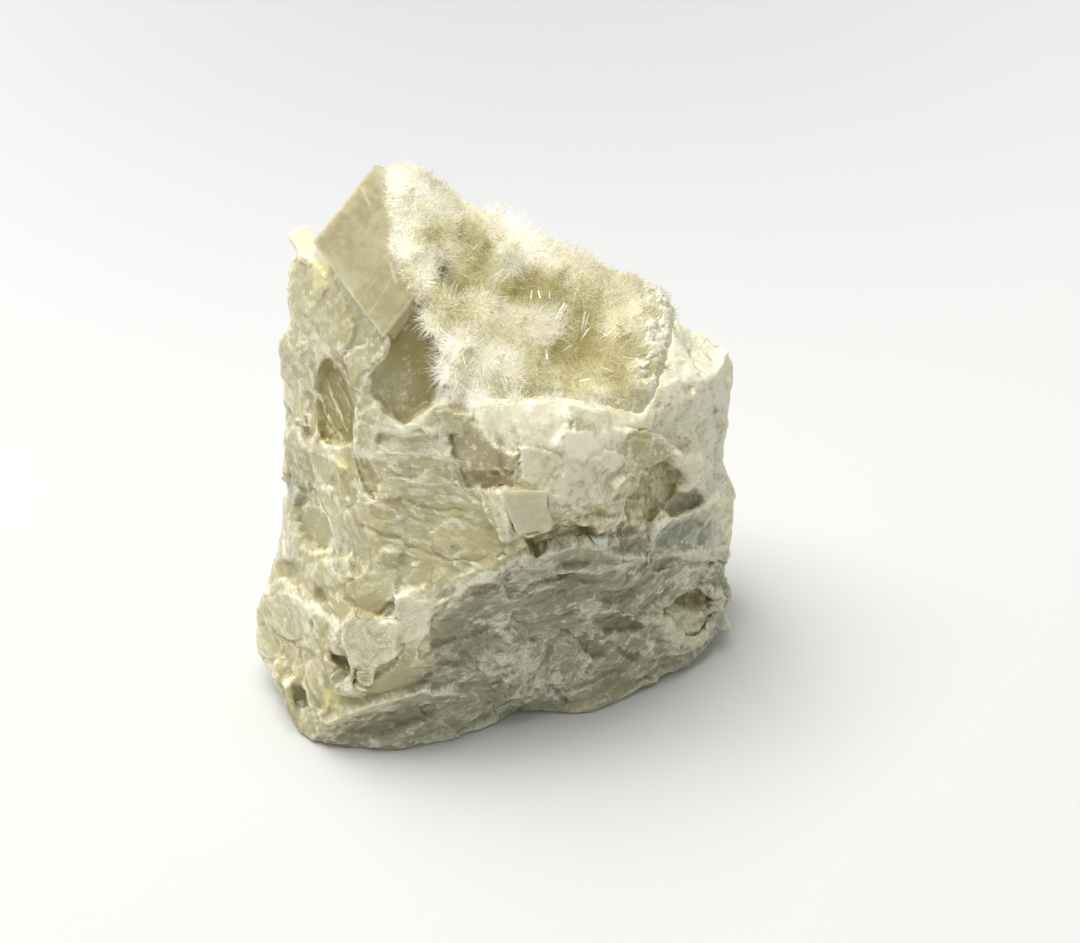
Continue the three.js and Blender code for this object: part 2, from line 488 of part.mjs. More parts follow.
// Sprays of needles: across, up, how many needles, and the length of the longest.
const TUFTS = [
  [-20, 42, 5, 3.6], [-16.5, 39, 5, 4.4], [-13, 36.5, 5, 5], [-17.5, 33, 5, 4], [-9, 35.5, 5, 5],
  [-12.5, 29.5, 6, 4.6], [-5.5, 32.5, 5, 5], [-1.5, 33.5, 5, 4.4], [3, 30.5, 5, 4.6],
  [8, 28, 5, 4.8], [12, 26, 5, 4], [-8.5, 24.5, 6, 5], [-3, 23, 6, 5.6], [2.5, 22.5, 6, 6],
  [7.5, 21.5, 5, 5], [12.5, 20.5, 5, 4.4], [-11.5, 18.5, 5, 4], [-6.5, 17, 5, 4.6],
  [-1, 16.5, 5, 5], [5, 15, 5, 4.4], [10.5, 15, 5, 4], [15, 15.5, 4, 3.4], [15.8, 21.5, 4, 3.4],
];

function bowlDepth(p) {
  const place = seen(p);
  return POCKETS.reduce(
    (sum, [across, up, depth, breadth]) =>
      sum + depth * Math.exp(-place.distanceToSquared(new THREE.Vector2(across, up)) / breadth ** 2),
    SEAT_DEPTH,
  );
}

function mound(p) {
  const place = seen(p);
  return TUFTS.reduce((most, [across, up]) => {
    const away = place.distanceTo(new THREE.Vector2(across, up));
    return Math.max(most, TUFT_MOUND * (1 - (away / 3) ** 2));
  }, 0);
}

// The rock under the crust. Behind the crest it stands proud, so that the bowl stays in front.
const isBehind = (p) => p.y > CREST_Y + CREST_SLOPE * p.x;
const bowlFloor = (lift) =>
  cage.raised(BLOCK_SPLIT, (p) => (isBehind(p) ? CUT_REACH + 4 * lift : lift - bowlDepth(p)));
const crustTop = (p) => SEAT_DEPTH - bowlDepth(p) + CRUST_PROUD + mound(p) + 0.7 * facet(p, 3, 0.3);

// One spray: needles that fan out from a point of the crust.
function spray([across, up, count, longest], index) {
  const direction = onFront([across, up]).sub(HEART).normalize();
  const base = cage.crossing(direction);
  base.addScaledVector(direction, crustTop(base) - NEEDLE_ROOT);
  const axis = direction.clone().lerp(TOWARD, 0.4).normalize();
  const side = new THREE.Vector3().crossVectors(axis, UP).normalize();
  const other = new THREE.Vector3().crossVectors(axis, side);
  const needles = [];
  for (let n = 0; n < count; n++) {
    const turn = 2 * Math.PI * (n / count + 0.12 * chance(index, n, 1));
    const tilt = NEEDLE_SPREAD * (n % 3 === 0 ? 0.35 : 0.8 + 0.2 * chance(index, n, 2));
    const length = NEEDLE_ROOT + longest * (0.75 + 0.25 * chance(index, n, 3));
    const point = axis
      .clone()
      .multiplyScalar(Math.cos(tilt))
      .addScaledVector(side, Math.sin(tilt) * Math.cos(turn))
      .addScaledVector(other, Math.sin(tilt) * Math.sin(turn));
    const geometry = new THREE.ConeGeometry(NEEDLE_RADIUS, length, 3)
      .translate(0, length / 2, 0)
      .applyQuaternion(new THREE.Quaternion().setFromUnitVectors(new THREE.Vector3(0, 1, 0), point))
      .translate(...base.toArray());
    needles.push(solidOf(geometry));
  }
  return needles;
}

// ---------------------------------------------------------------- cleavage rhombs all over
// The edges of a cleavage rhomb lean towards each other by this share of their length.
const LATTICE_LEAN = 0.13;
const LATTICE = [
  [1, LATTICE_LEAN, LATTICE_LEAN],
  [LATTICE_LEAN, 1, LATTICE_LEAN],
  [LATTICE_LEAN, LATTICE_LEAN, 1],
];
const RHOMB_HEIGHTS = [6, 76]; // none stands lower or higher than this
const RHOMB_TURN = -0.35; // the sides and the back, which look away from the eye, have them

// Each quarter of the rock has its lattice turned its own way, and so have its top and bottom half.
function latticeAt(p) {
  const turn = Math.floor(chance(Math.sign(p.x), Math.sign(p.y), Math.sign(p.z - HEART.z)) * 4);
  return new THREE.Quaternion().setFromEuler(new THREE.Euler(turn * 0.7, turn * 1.3, turn * 0.4));
}

// Rhombs with one corner out of the rock, at places spread evenly in a spiral round its heart.
function scatteredRhombs() {
  const rhombs = [];
  const goldenTurn = Math.PI * (3 - Math.sqrt(5));
  for (let n = 0; n < RHOMB_COUNT; n++) {
    const rise = 1 - (2 * n + 1) / RHOMB_COUNT;
    const flat = Math.sqrt(1 - rise * rise);
    const turn = n * goldenTurn;
    const direction = new THREE.Vector3(flat * Math.cos(turn), flat * Math.sin(turn), rise);
    const p = cage.crossing(direction);
    const towardsEye = direction.dot(EYE.clone().sub(p).normalize());
    if (towardsEye > RHOMB_TURN || p.z < RHOMB_HEIGHTS[0] || p.z > RHOMB_HEIGHTS[1]) continue;
    const size = THREE.MathUtils.lerp(...RHOMB_SIZE, chance(n, 5));
    const proud = THREE.MathUtils.lerp(...RHOMB_PROUD, chance(n, 9));
    const tip = p.clone().addScaledVector(direction, relief(p) + proud);
    const inward = LATTICE.map((edge, i) => {
      const e = new THREE.Vector3(...edge).setLength(size * (0.6 + 0.4 * chance(n, 7, i)));
      e.applyQuaternion(latticeAt(p));
      return e.dot(direction) > 0 ? e.negate() : e;
    });
    rhombs.push(solidOf(parallelepiped(tip, inward)));
  }
  return rhombs;
}

// ---------------------------------------------------------------- the rock and its crust
const FLOOR_SIZE = 200;
const ground = solidOf(
  new THREE.BoxGeometry(FLOOR_SIZE, FLOOR_SIZE, FLOOR_SIZE).translate(0, 0, -FLOOR_SIZE / 2),
);
const union = (solids) => solids.reduce((all, one) => all.add(one));
const bowl = prism(RIM, () => 3 * CUT_REACH, () => -3 * CUT_REACH);
const rimMiddle = RIM.reduce((sum, [a, u]) => sum.add(new THREE.Vector2(a, u)), new THREE.Vector2());
rimMiddle.divideScalar(RIM.length);
const narrowed = RIM.map(([a, u]) => {
  const corner = new THREE.Vector2(a, u);
  const inward = rimMiddle.clone().sub(corner).setLength(1.5 * SEAT_GAP);
  return corner.add(inward).toArray();
});

let rock = union([
  cage.raised(BLOCK_SPLIT, relief),
  ...scatteredRhombs(),
  ...CRYSTALS.map((c) => crystal(c)),
  ...RAISED.map(raisedPlate),
]);
rock = rock.subtract(union(SUNKEN.map(sunkenPlate))).add(raisedPlate(CAVE_CRYSTAL));
rock = rock.subtract(bowl.subtract(bowlFloor(0)));
const matrix = cleaned(rock.subtract(ground));

const lining = prism(narrowed, () => 3 * CUT_REACH, () => -3 * CUT_REACH).intersect(
  cage.raised(CRUST_SPLIT, crustTop),
);
const needles = union(TUFTS.flatMap(spray));
const crust = cleaned(lining.add(needles).subtract(bowlFloor(SEAT_GAP)));

// Both solids move so that the middle of their common box stands over the origin.
const box = [matrix, crust]
  .map((solid) => solid.boundingBox())
  .reduce((all, { min, max }) => {
    all.expandByPoint(new THREE.Vector3(...min));
    return all.expandByPoint(new THREE.Vector3(...max));
  }, new THREE.Box3());
const middle = box.getCenter(new THREE.Vector3()).setZ(box.min.z);

const stone = new THREE.MeshStandardMaterial({ color: 0xd8d2bf, roughness: 0.7, metalness: 0 });
const cream = new THREE.MeshStandardMaterial({ color: 0xf1ead0, roughness: 0.5, metalness: 0 });
const specimen = new THREE.Group();
function place(name, solid, material) {
  const piece = new THREE.Mesh(geometryOf(solid), material);
  piece.name = name;
  piece.position.copy(middle).negate();
  specimen.add(piece);
}
place("matrix", matrix, stone);
place("aragonite_crust", crust, cream);

export default specimen;
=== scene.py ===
"""Aragonite needles in a hollow of cleaved calcite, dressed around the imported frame."""

import itertools
import logging
import math
from dataclasses import dataclass, field
from enum import Enum
from typing import Any

import bmesh
import bpy
import numpy as np
from bpy.types import Material, Mesh, Node, NodeSocket, Object
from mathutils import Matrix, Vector
from mathutils.bvhtree import BVHTree


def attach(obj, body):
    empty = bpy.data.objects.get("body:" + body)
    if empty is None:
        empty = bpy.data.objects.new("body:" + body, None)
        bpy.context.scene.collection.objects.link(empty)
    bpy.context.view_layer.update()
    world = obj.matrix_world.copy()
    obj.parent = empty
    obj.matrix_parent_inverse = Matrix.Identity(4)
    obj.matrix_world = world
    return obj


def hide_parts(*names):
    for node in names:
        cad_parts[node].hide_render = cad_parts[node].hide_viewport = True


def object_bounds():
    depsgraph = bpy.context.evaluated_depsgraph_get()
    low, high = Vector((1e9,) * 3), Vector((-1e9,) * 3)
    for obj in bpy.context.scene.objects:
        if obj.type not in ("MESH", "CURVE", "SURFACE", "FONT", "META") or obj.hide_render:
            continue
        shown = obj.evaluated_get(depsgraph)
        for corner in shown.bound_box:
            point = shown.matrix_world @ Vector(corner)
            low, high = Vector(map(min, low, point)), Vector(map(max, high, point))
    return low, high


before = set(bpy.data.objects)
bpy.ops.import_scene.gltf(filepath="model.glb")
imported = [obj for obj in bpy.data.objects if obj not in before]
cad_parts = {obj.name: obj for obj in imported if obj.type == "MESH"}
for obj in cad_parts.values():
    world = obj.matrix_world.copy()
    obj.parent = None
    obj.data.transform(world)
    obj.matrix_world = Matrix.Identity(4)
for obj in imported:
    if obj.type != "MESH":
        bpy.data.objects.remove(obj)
CAD_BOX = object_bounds()

Array = np.ndarray
Pair = tuple[float, float]
Triple = tuple[float, float, float]

LOG = logging.getLogger("specimen")
MM = 0.001
BODY = "root"
ROCK_NODE = "matrix"
CRUST_NODE = "aragonite_crust"
HASH_PRIMES = np.array((73856093, 19349663, 83492791), np.int64)
SALT_PRIME, STIR_PRIME = 374761393, 1274126177
HASH_SHIFTS = (13, 16)
HASH_BITS = 0xFFFFFF
ROUNDNESS = 0.65
BOX_MARGIN = 0.02


# -------- colours and node trees
def linear(hex_colour: str) -> tuple[float, float, float, float]:
    """Turns an sRGB hex colour to linear.

    Args:
        hex_colour: the colour as "#RRGGBB".

    Returns:
        Red, green, blue and an alpha of 1.
    """
    parts = [int(hex_colour[i : i + 2], 16) / 255 for i in (1, 3, 5)]
    return (*(c / 12.92 if c <= 0.04045 else ((c + 0.055) / 1.055) ** 2.4 for c in parts), 1.0)


class Tree:
    """The node tree of one material, empty but for its output."""

    MIX_FACTOR, MIX_A, MIX_B, MIX_RESULT = 0, 6, 7, 2
    SMOOTH = {"interpolation_type": "SMOOTHSTEP"}

    def __init__(self, name: str) -> None:
        """Makes the material and clears its nodes.

        Args:
            name: the material's name.
        """
        self.material = bpy.data.materials.new(name)
        self.material.use_nodes = True
        self.nodes = self.material.node_tree.nodes
        self.links = self.material.node_tree.links
        self.nodes.clear()

    def add(self, kind: str, inputs: dict[Any, Any] | None = None, **settings: Any) -> Node:
        """Adds a node with its settings, values and links.

        Args:
            kind: the shader node's type.
            inputs: a value or the socket it is linked from, by input name or number.
            settings: the node's own properties.

        Returns:
            The node.
        """
        made = self.nodes.new("ShaderNode" + kind)
        for name, value in settings.items():
            setattr(made, name, value)
        for name, value in (inputs or {}).items():
            if isinstance(value, NodeSocket):
                self.links.new(value, made.inputs[name])
            else:
                made.inputs[name].default_value = value
        return made

    def summed(self, base: Any, *parts: tuple[Any, Any]) -> Any:
        """Adds up parts on a base.

        Args:
            base: a value or a socket.
            parts: pairs of a socket and its weight, a value or a socket.

        Returns:
            The socket of the sum.
        """
        for value, weight in parts:
            base = self.add("Math", {0: value, 1: weight, 2: base},
                            operation="MULTIPLY_ADD").outputs[0]
        return base

    def painted(self, base: Any, *coats: tuple[Any, Any]) -> Any:
        """Lays coats of colour over a base.

        Args:
            base: a colour or a socket.
            coats: pairs of how much the coat covers and its colour.

        Returns:
            The socket of the last coat.
        """
        for share, colour in coats:
            inputs = {self.MIX_FACTOR: share, self.MIX_A: base, self.MIX_B: colour}
            base = self.add("Mix", inputs, data_type="RGBA").outputs[self.MIX_RESULT]
        return base

    def cells(self, place: NodeSocket, size: Triple,
              ) -> tuple[Any, NodeSocket]:
        """Adds flat cells, each with a tilted face.

        Args:
            place: the place's socket.
            size: the cells' size along each axis.

        Returns:
            Three random values of the cell, and the height of its face, in cells.
        """
        scaled = self.add("Mapping", {"Vector": place, "Scale": tuple(1 / v for v in size)})
        cell = self.add("TexVoronoi", {"Vector": scaled.outputs[0], "Scale": 1.0})
        away = self.add("VectorMath", {0: scaled.outputs[0], 1: cell.outputs["Position"]},
                        operation="SUBTRACT")
        slope = self.add("VectorMath", {0: cell.outputs["Color"], 1: (0.5, 0.5, 0.5)},
                         operation="SUBTRACT")
        tilt = self.add("VectorMath", {0: away.outputs[0], 1: slope.outputs[0]},
                        operation="DOT_PRODUCT").outputs["Value"]
        return self.add("SeparateXYZ", {0: cell.outputs["Color"]}).outputs, tilt

    def finish(self, shader: Node) -> Material:
        """Links the shader to the output and returns the material."""
        self.add("OutputMaterial", {"Surface": shader.outputs[0]})
        return self.material


# -------- the line of sight
@dataclass(frozen=True)
class Sight:
    """The line of sight along which the specimen's front is described.

    A place is (across, up), in millimetres, on the plane through the aim that is square to this line.

    Attributes:
        aim: the point that is looked at, in millimetres.
        elevation_deg: how high the eye stands.
        distance: how far the eye is from the aim, in millimetres.
    """

    aim: Triple = (6.75, -1.11, 31.7)
    elevation_deg: float = 35.0
    distance: float = 450.0

    @property
    def across(self) -> Array:
        """The direction to the right."""
        return np.array((1.0, 0.0, 0.0))

    @property
    def up(self) -> Array:
        """The direction up, square to the line of sight."""
        return np.array((0.0, math.sin(self.lift), math.cos(self.lift)))

    @property
    def toward(self) -> Array:
        """The direction from the specimen to the eye."""
        return np.array((0.0, -math.cos(self.lift), math.sin(self.lift)))

    @property
    def lift(self) -> float:
        """The elevation in radians."""
        return math.radians(self.elevation_deg)

    @property
    def eye(self) -> Array:
        """Where the eye is."""
        return np.array(self.aim) + self.distance * self.toward

    def places(self, points: Array) -> Array:
        """Where points of space are seen.

        Args:
            points: the points, in millimetres.

        Returns:
            A row of (across, up) for each.
        """
        away = points - self.eye
        scale = self.distance / -(away @ self.toward)
        return np.stack((away @ self.across * scale, away @ self.up * scale), axis=1)

    def ray(self, place: Pair) -> Vector:
        """The direction from the eye through a place."""
        target = np.array(self.aim) + place[0] * self.across + place[1] * self.up
        return Vector(target - self.eye).normalized()

    def hit(self, tree: BVHTree, place: Pair) -> tuple:
        """Where the ray through a place first meets a surface, as ray_cast gives it."""
        return tree.ray_cast(Vector(self.eye), self.ray(place))

    def turned(self, angle_deg: float) -> Array:
        """The direction at an angle from across to up."""
        turn = math.radians(angle_deg)
        return math.cos(turn) * self.across + math.sin(turn) * self.up


SIGHT = Sight()
HEART = np.array((-0.55, -1.1, 36.0))
UPWARD = np.array((0.0, 0.0, 1.0))


# -------- steady randomness
OCTAVE_SHIFT = 11.7
BLOCK_FLOOR = -0.8
BLOCK_REACH = 0.5
BLOCK_TILTS = (1.1, 1.5)
BLOCK_TOP = 0.78
BLOCK_FLANK = 9


def chance(cells: Array, salt: int) -> Array:
    """A steady random value from 0 to 1 for each row of three whole numbers.

    Args:
        cells: the rows.
        salt: another number gives other values.

    Returns:
        One value a row.
    """
    mixed = (cells.astype(np.int64) * HASH_PRIMES).sum(axis=-1) + salt * SALT_PRIME
    mixed = (mixed ^ (mixed >> HASH_SHIFTS[0])) * STIR_PRIME
    mixed = mixed ^ (mixed >> HASH_SHIFTS[1])
    return (mixed & HASH_BITS) / HASH_BITS


def swell(points: Array, size: float, salt: int, octaves: int = 1) -> Array:
    """Soft random waves from about -1 to 1.

    Args:
        points: where, in millimetres.
        size: the largest wave, in millimetres.
        salt: another number gives other waves.
        octaves: how many finer waves are laid over each other.

    Returns:
        One value a point.
    """
    total, most = np.zeros(len(points)), 0.0
    for octave in range(octaves):
        scaled = points * (2**octave / size) + OCTAVE_SHIFT * octave
        cell = np.floor(scaled)
        t = eased(scaled - cell, 0, 1)
        for corner in itertools.product((0, 1), repeat=3):
            weight = np.prod(np.where(corner, t, 1 - t), axis=1)
            total += 0.5**octave * weight * chance(cell + corner, salt + octave)
        most += 0.5**octave
    return 2 * total / most - 1


def outcrops(spots: Array, salt: int) -> Array:
    """Cleavage blocks of many sizes that stand out of each other, with flat tilted tops.

    Args:
        spots: where in the lattice, in blocks.
        salt: another number gives other blocks.

    Returns:
        The height of each spot, from about -1 to 1.
    """
    height = np.full(len(spots), BLOCK_FLOOR)
    cell = np.floor(spots)
    for beside_it in itertools.product((-1, 0, 1), repeat=3):
        near = cell + beside_it
        draw = [chance(near, salt + k) for k in range(9)]
        away = spots - near - np.stack(draw[:3], axis=1)
        reach = BLOCK_REACH + (1 - BLOCK_REACH) * np.stack(draw[3:6], axis=1)
        to_side = np.abs(away / reach).max(axis=1)
        top = 2 * draw[6] - 1
        for k, tilt in enumerate(BLOCK_TILTS):
            top = top + tilt * (draw[7 + k] - 0.5) * away[:, k]
        height = np.maximum(height, top - BLOCK_FLANK * np.maximum(to_side - BLOCK_TOP, 0))
    return height


def eased(values: Array, low: float, high: float) -> Array:
    """Values taken smoothly from 0 at low to 1 at high."""
    t = np.clip((values - low) / (high - low), 0, 1)
    return t * t * (3 - 2 * t)


# -------- meshes as arrays
class Skin:
    """A mesh's corners in millimetres, to be carved and then written back."""

    def __init__(self, piece: Object) -> None:
        """Reads the mesh.

        Args:
            piece: the object whose mesh it is.
        """
        self.mesh = piece.data
        self.points = self.read(self.mesh.vertices, "co", 3) / MM
        ends = np.empty(len(self.mesh.edges) * 2, np.int32)
        self.mesh.edges.foreach_get("vertices", ends)
        self.ends = ends.reshape(-1, 2)
        self.degree = np.maximum(np.bincount(self.ends.ravel(), minlength=len(self.points)), 1)

    @staticmethod
    def read(items: Any, name: str, width: int) -> Array:
        """Reads one attribute of every item.

        Args:
            items: the mesh's vertices or normals.
            name: the attribute.
            width: how many numbers an item has.

        Returns:
            A row for each item.
        """
        flat = np.empty(len(items) * width, np.float32)
        items.foreach_get(name, flat)
        return flat.reshape(-1, width).astype(float)

    def write(self) -> None:
        """Puts the carved corners back in the mesh."""
        self.mesh.vertices.foreach_set("co", (self.points * MM).astype(np.float32).ravel())
        self.mesh.update()

    def normals(self) -> Array:
        """The direction out of the surface at each corner."""
        self.write()
        return self.read(self.mesh.vertex_normals, "vector", 3)

    def blurred(self, values: Array, rounds: int) -> Array:
        """Averages values with their neighbours.

        Args:
            values: a value or row for each corner.
            rounds: how many times they are averaged.

        Returns:
            The averaged values.
        """
        first, second = self.ends.T
        count = len(self.points)
        columns = values.reshape(count, -1).copy()
        for _ in range(rounds):
            for k in range(columns.shape[1]):
                column = columns[:, k]
                total = np.bincount(first, weights=column[second], minlength=count)
                total += np.bincount(second, weights=column[first], minlength=count)
                columns[:, k] = 0.5 * column + 0.5 * total / self.degree
        return columns.reshape(values.shape)

    def crest(self, rounds: int) -> Array:
        """How far each corner stands over its blurred surroundings: a crest is above 0."""
        return ((self.points - self.blurred(self.points, rounds)) * self.normals()).sum(axis=1)

    def tree(self) -> BVHTree:
        """A tree for casting rays at the surface, in millimetres."""
        faces = [tuple(p.vertices) for p in self.mesh.polygons]
        return BVHTree.FromPolygons([tuple(p) for p in self.points], faces)

    def store(self, name: str, values: Array) -> None:
        """Keeps a value or a vector of each corner as an attribute of the mesh."""
        store(self.mesh, name, values)


def store(mesh: Mesh, name: str, values: Array) -> None:
    """Keeps a value or a vector of each corner as an attribute.

    Args:
        mesh: the mesh.
        name: the attribute's name.
        values: one value or row of three a corner.
    """
    kind, key = ("FLOAT", "value") if values.ndim == 1 else ("FLOAT_VECTOR", "vector")
    layer = mesh.attributes.new(name, kind, "POINT")
    layer.data.foreach_set(key, values.astype(np.float32).ravel())


def linked(name: str, mesh: Mesh) -> Object:
    """A new object of the scene with that mesh."""
    piece = bpy.data.objects.new(name, mesh)
    bpy.context.scene.collection.objects.link(piece)
    return piece


def meshed(name: str, grown: bmesh.types.BMesh) -> Object:
    """A new object of the scene with a bmesh's shape.

    Args:
        name: the new piece.
        grown: the shape, which is freed.

    Returns:
        The new piece.
    """
    mesh = bpy.data.meshes.new(name)
    grown.to_mesh(mesh)
    grown.free()
    return linked(name, mesh)


def applied(piece: Object) -> None:
    """Applies the object's modifiers to its mesh."""
    seen = piece.evaluated_get(bpy.context.evaluated_depsgraph_get())
    mesh = bpy.data.meshes.new_from_object(seen)
    piece.modifiers.clear()
    piece.data = mesh


def remeshed(node: str, name: str, voxel: float) -> Object:
    """A finely meshed copy of a CAD node.

    Args:
        node: the CAD node.
        name: the new piece.
        voxel: the size of its faces, in millimetres.

    Returns:
        The new piece.
    """
    piece = linked(name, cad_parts[node].data.copy())
    grown = bmesh.new()
    grown.from_mesh(piece.data)
    bmesh.ops.remove_doubles(grown, verts=grown.verts, dist=0.001 * MM)
    grown.to_mesh(piece.data)
    grown.free()
    piece.data.materials.clear()
    remesh = piece.modifiers.new("Remesh", "REMESH")
    remesh.mode = "VOXEL"
    remesh.voxel_size = voxel * MM
    applied(piece)
    return piece


def largest_only(piece: Object) -> None:
    """Deletes all but the largest connected part of a mesh.

    Args:
        piece: the object whose mesh it is.
    """
    grown = bmesh.new()
    grown.from_mesh(piece.data)
    left, parts = set(grown.verts), []
    while left:
        part, edge = set(), [left.pop()]
        while edge:
            vert = edge.pop()
            part.add(vert)
            for link in vert.link_edges:
                other = link.other_vert(vert)
                if other in left:
                    left.discard(other)
                    edge.append(other)
        parts.append(part)
    parts.sort(key=len)
    bmesh.ops.delete(grown, geom=[v for part in parts[:-1] for v in part], context="VERTS")
    grown.to_mesh(piece.data)
    grown.free()


def repeated(name: str, shape: bmesh.types.BMesh, frames: Array, starts: Array,
             values: dict[str, Array], toward: Array | None = None) -> Object:
    """Many copies of one small shape in one mesh.

    Args:
        name: the new piece.
        shape: the shape, which is freed.
        frames: for each copy, a row for each of the shape's X, Y and Z, in millimetres.
        starts: where each copy's origin lies, in millimetres.
        values: attributes with one value or row a copy; "height" is added as the share of Z.
        toward: for each copy, the way that its sides are shaded as if they faced.

    Returns:
        The new piece.
    """
    bmesh.ops.triangulate(shape, faces=shape.faces)
    shape.verts.ensure_lookup_table()
    corners = np.array([v.co for v in shape.verts])
    faces = np.array([[v.index for v in f.verts] for f in shape.faces])
    shape.free()
    count = len(starts)
    points = np.einsum("vk,nkc->nvc", corners, frames) + starts[:, None, :]
    index = faces[None] + (np.arange(count) * len(corners))[:, None, None]
    mesh = bpy.data.meshes.new(name)
    mesh.vertices.add(count * len(corners))
    mesh.vertices.foreach_set("co", (points * MM).astype(np.float32).ravel())
    mesh.loops.add(index.size)
    mesh.loops.foreach_set("vertex_index", index.astype(np.int32).ravel())
    mesh.polygons.add(count * len(faces))
    mesh.polygons.foreach_set("loop_start", np.arange(0, index.size, 3, dtype=np.int32))
    mesh.update(calc_edges=True)
    mesh.shade_flat()
    for key, value in values.items():
        store(mesh, key, np.repeat(value, len(corners), axis=0))
    store(mesh, "height", np.tile(corners[:, 2], count))
    if toward is not None:
        around = np.einsum("vk,nkc->nvc", corners * (1, 1, 0), unit(frames))
        shaded = unit(ROUNDNESS * around + toward[:, None, :]).reshape(-1, 3)
        mesh.normals_split_custom_set_from_vertices(shaded)
    return linked(name, mesh)


def beside(axes: Array, turns: Array) -> tuple[Array, Array]:
    """Two directions square to each axis and to each other, turned about it.

    Args:
        axes: one unit direction a row.
        turns: the turn about it, in radians.

    Returns:
        The two directions of each row.
    """
    helper = np.where(np.abs(axes[:, 2:]) < 0.9, (0.0, 0.0, 1.0), (1.0, 0.0, 0.0))
    side = np.cross(axes, helper)
    side /= np.linalg.norm(side, axis=1, keepdims=True)
    other = np.cross(axes, side)
    c, s = np.cos(turns)[:, None], np.sin(turns)[:, None]
    return c * side + s * other, c * other - s * side


def held_in_box(points: Array) -> Array:
    """Points kept in the frame's box, in millimetres."""
    low, high = (np.array(c) / MM for c in CAD_BOX)
    return np.clip(points, low + BOX_MARGIN, high - BOX_MARGIN)


def solid_tree(node: str) -> BVHTree:
    """A tree of one of the frame's own solids, in millimetres."""
    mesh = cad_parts[node].data
    return BVHTree.FromPolygons([v.co / MM for v in mesh.vertices],
                                [tuple(p.vertices) for p in mesh.polygons])


def unit(rows: Array) -> Array:
    """Rows with a length of 1."""
    return rows / np.maximum(np.linalg.norm(rows, axis=-1, keepdims=True), 1e-9)


# -------- finishes
def stretched(size: float, times: float = 1.0) -> Triple:
    """A size along each axis that is that many times longer along the first."""
    return size * times, size, size


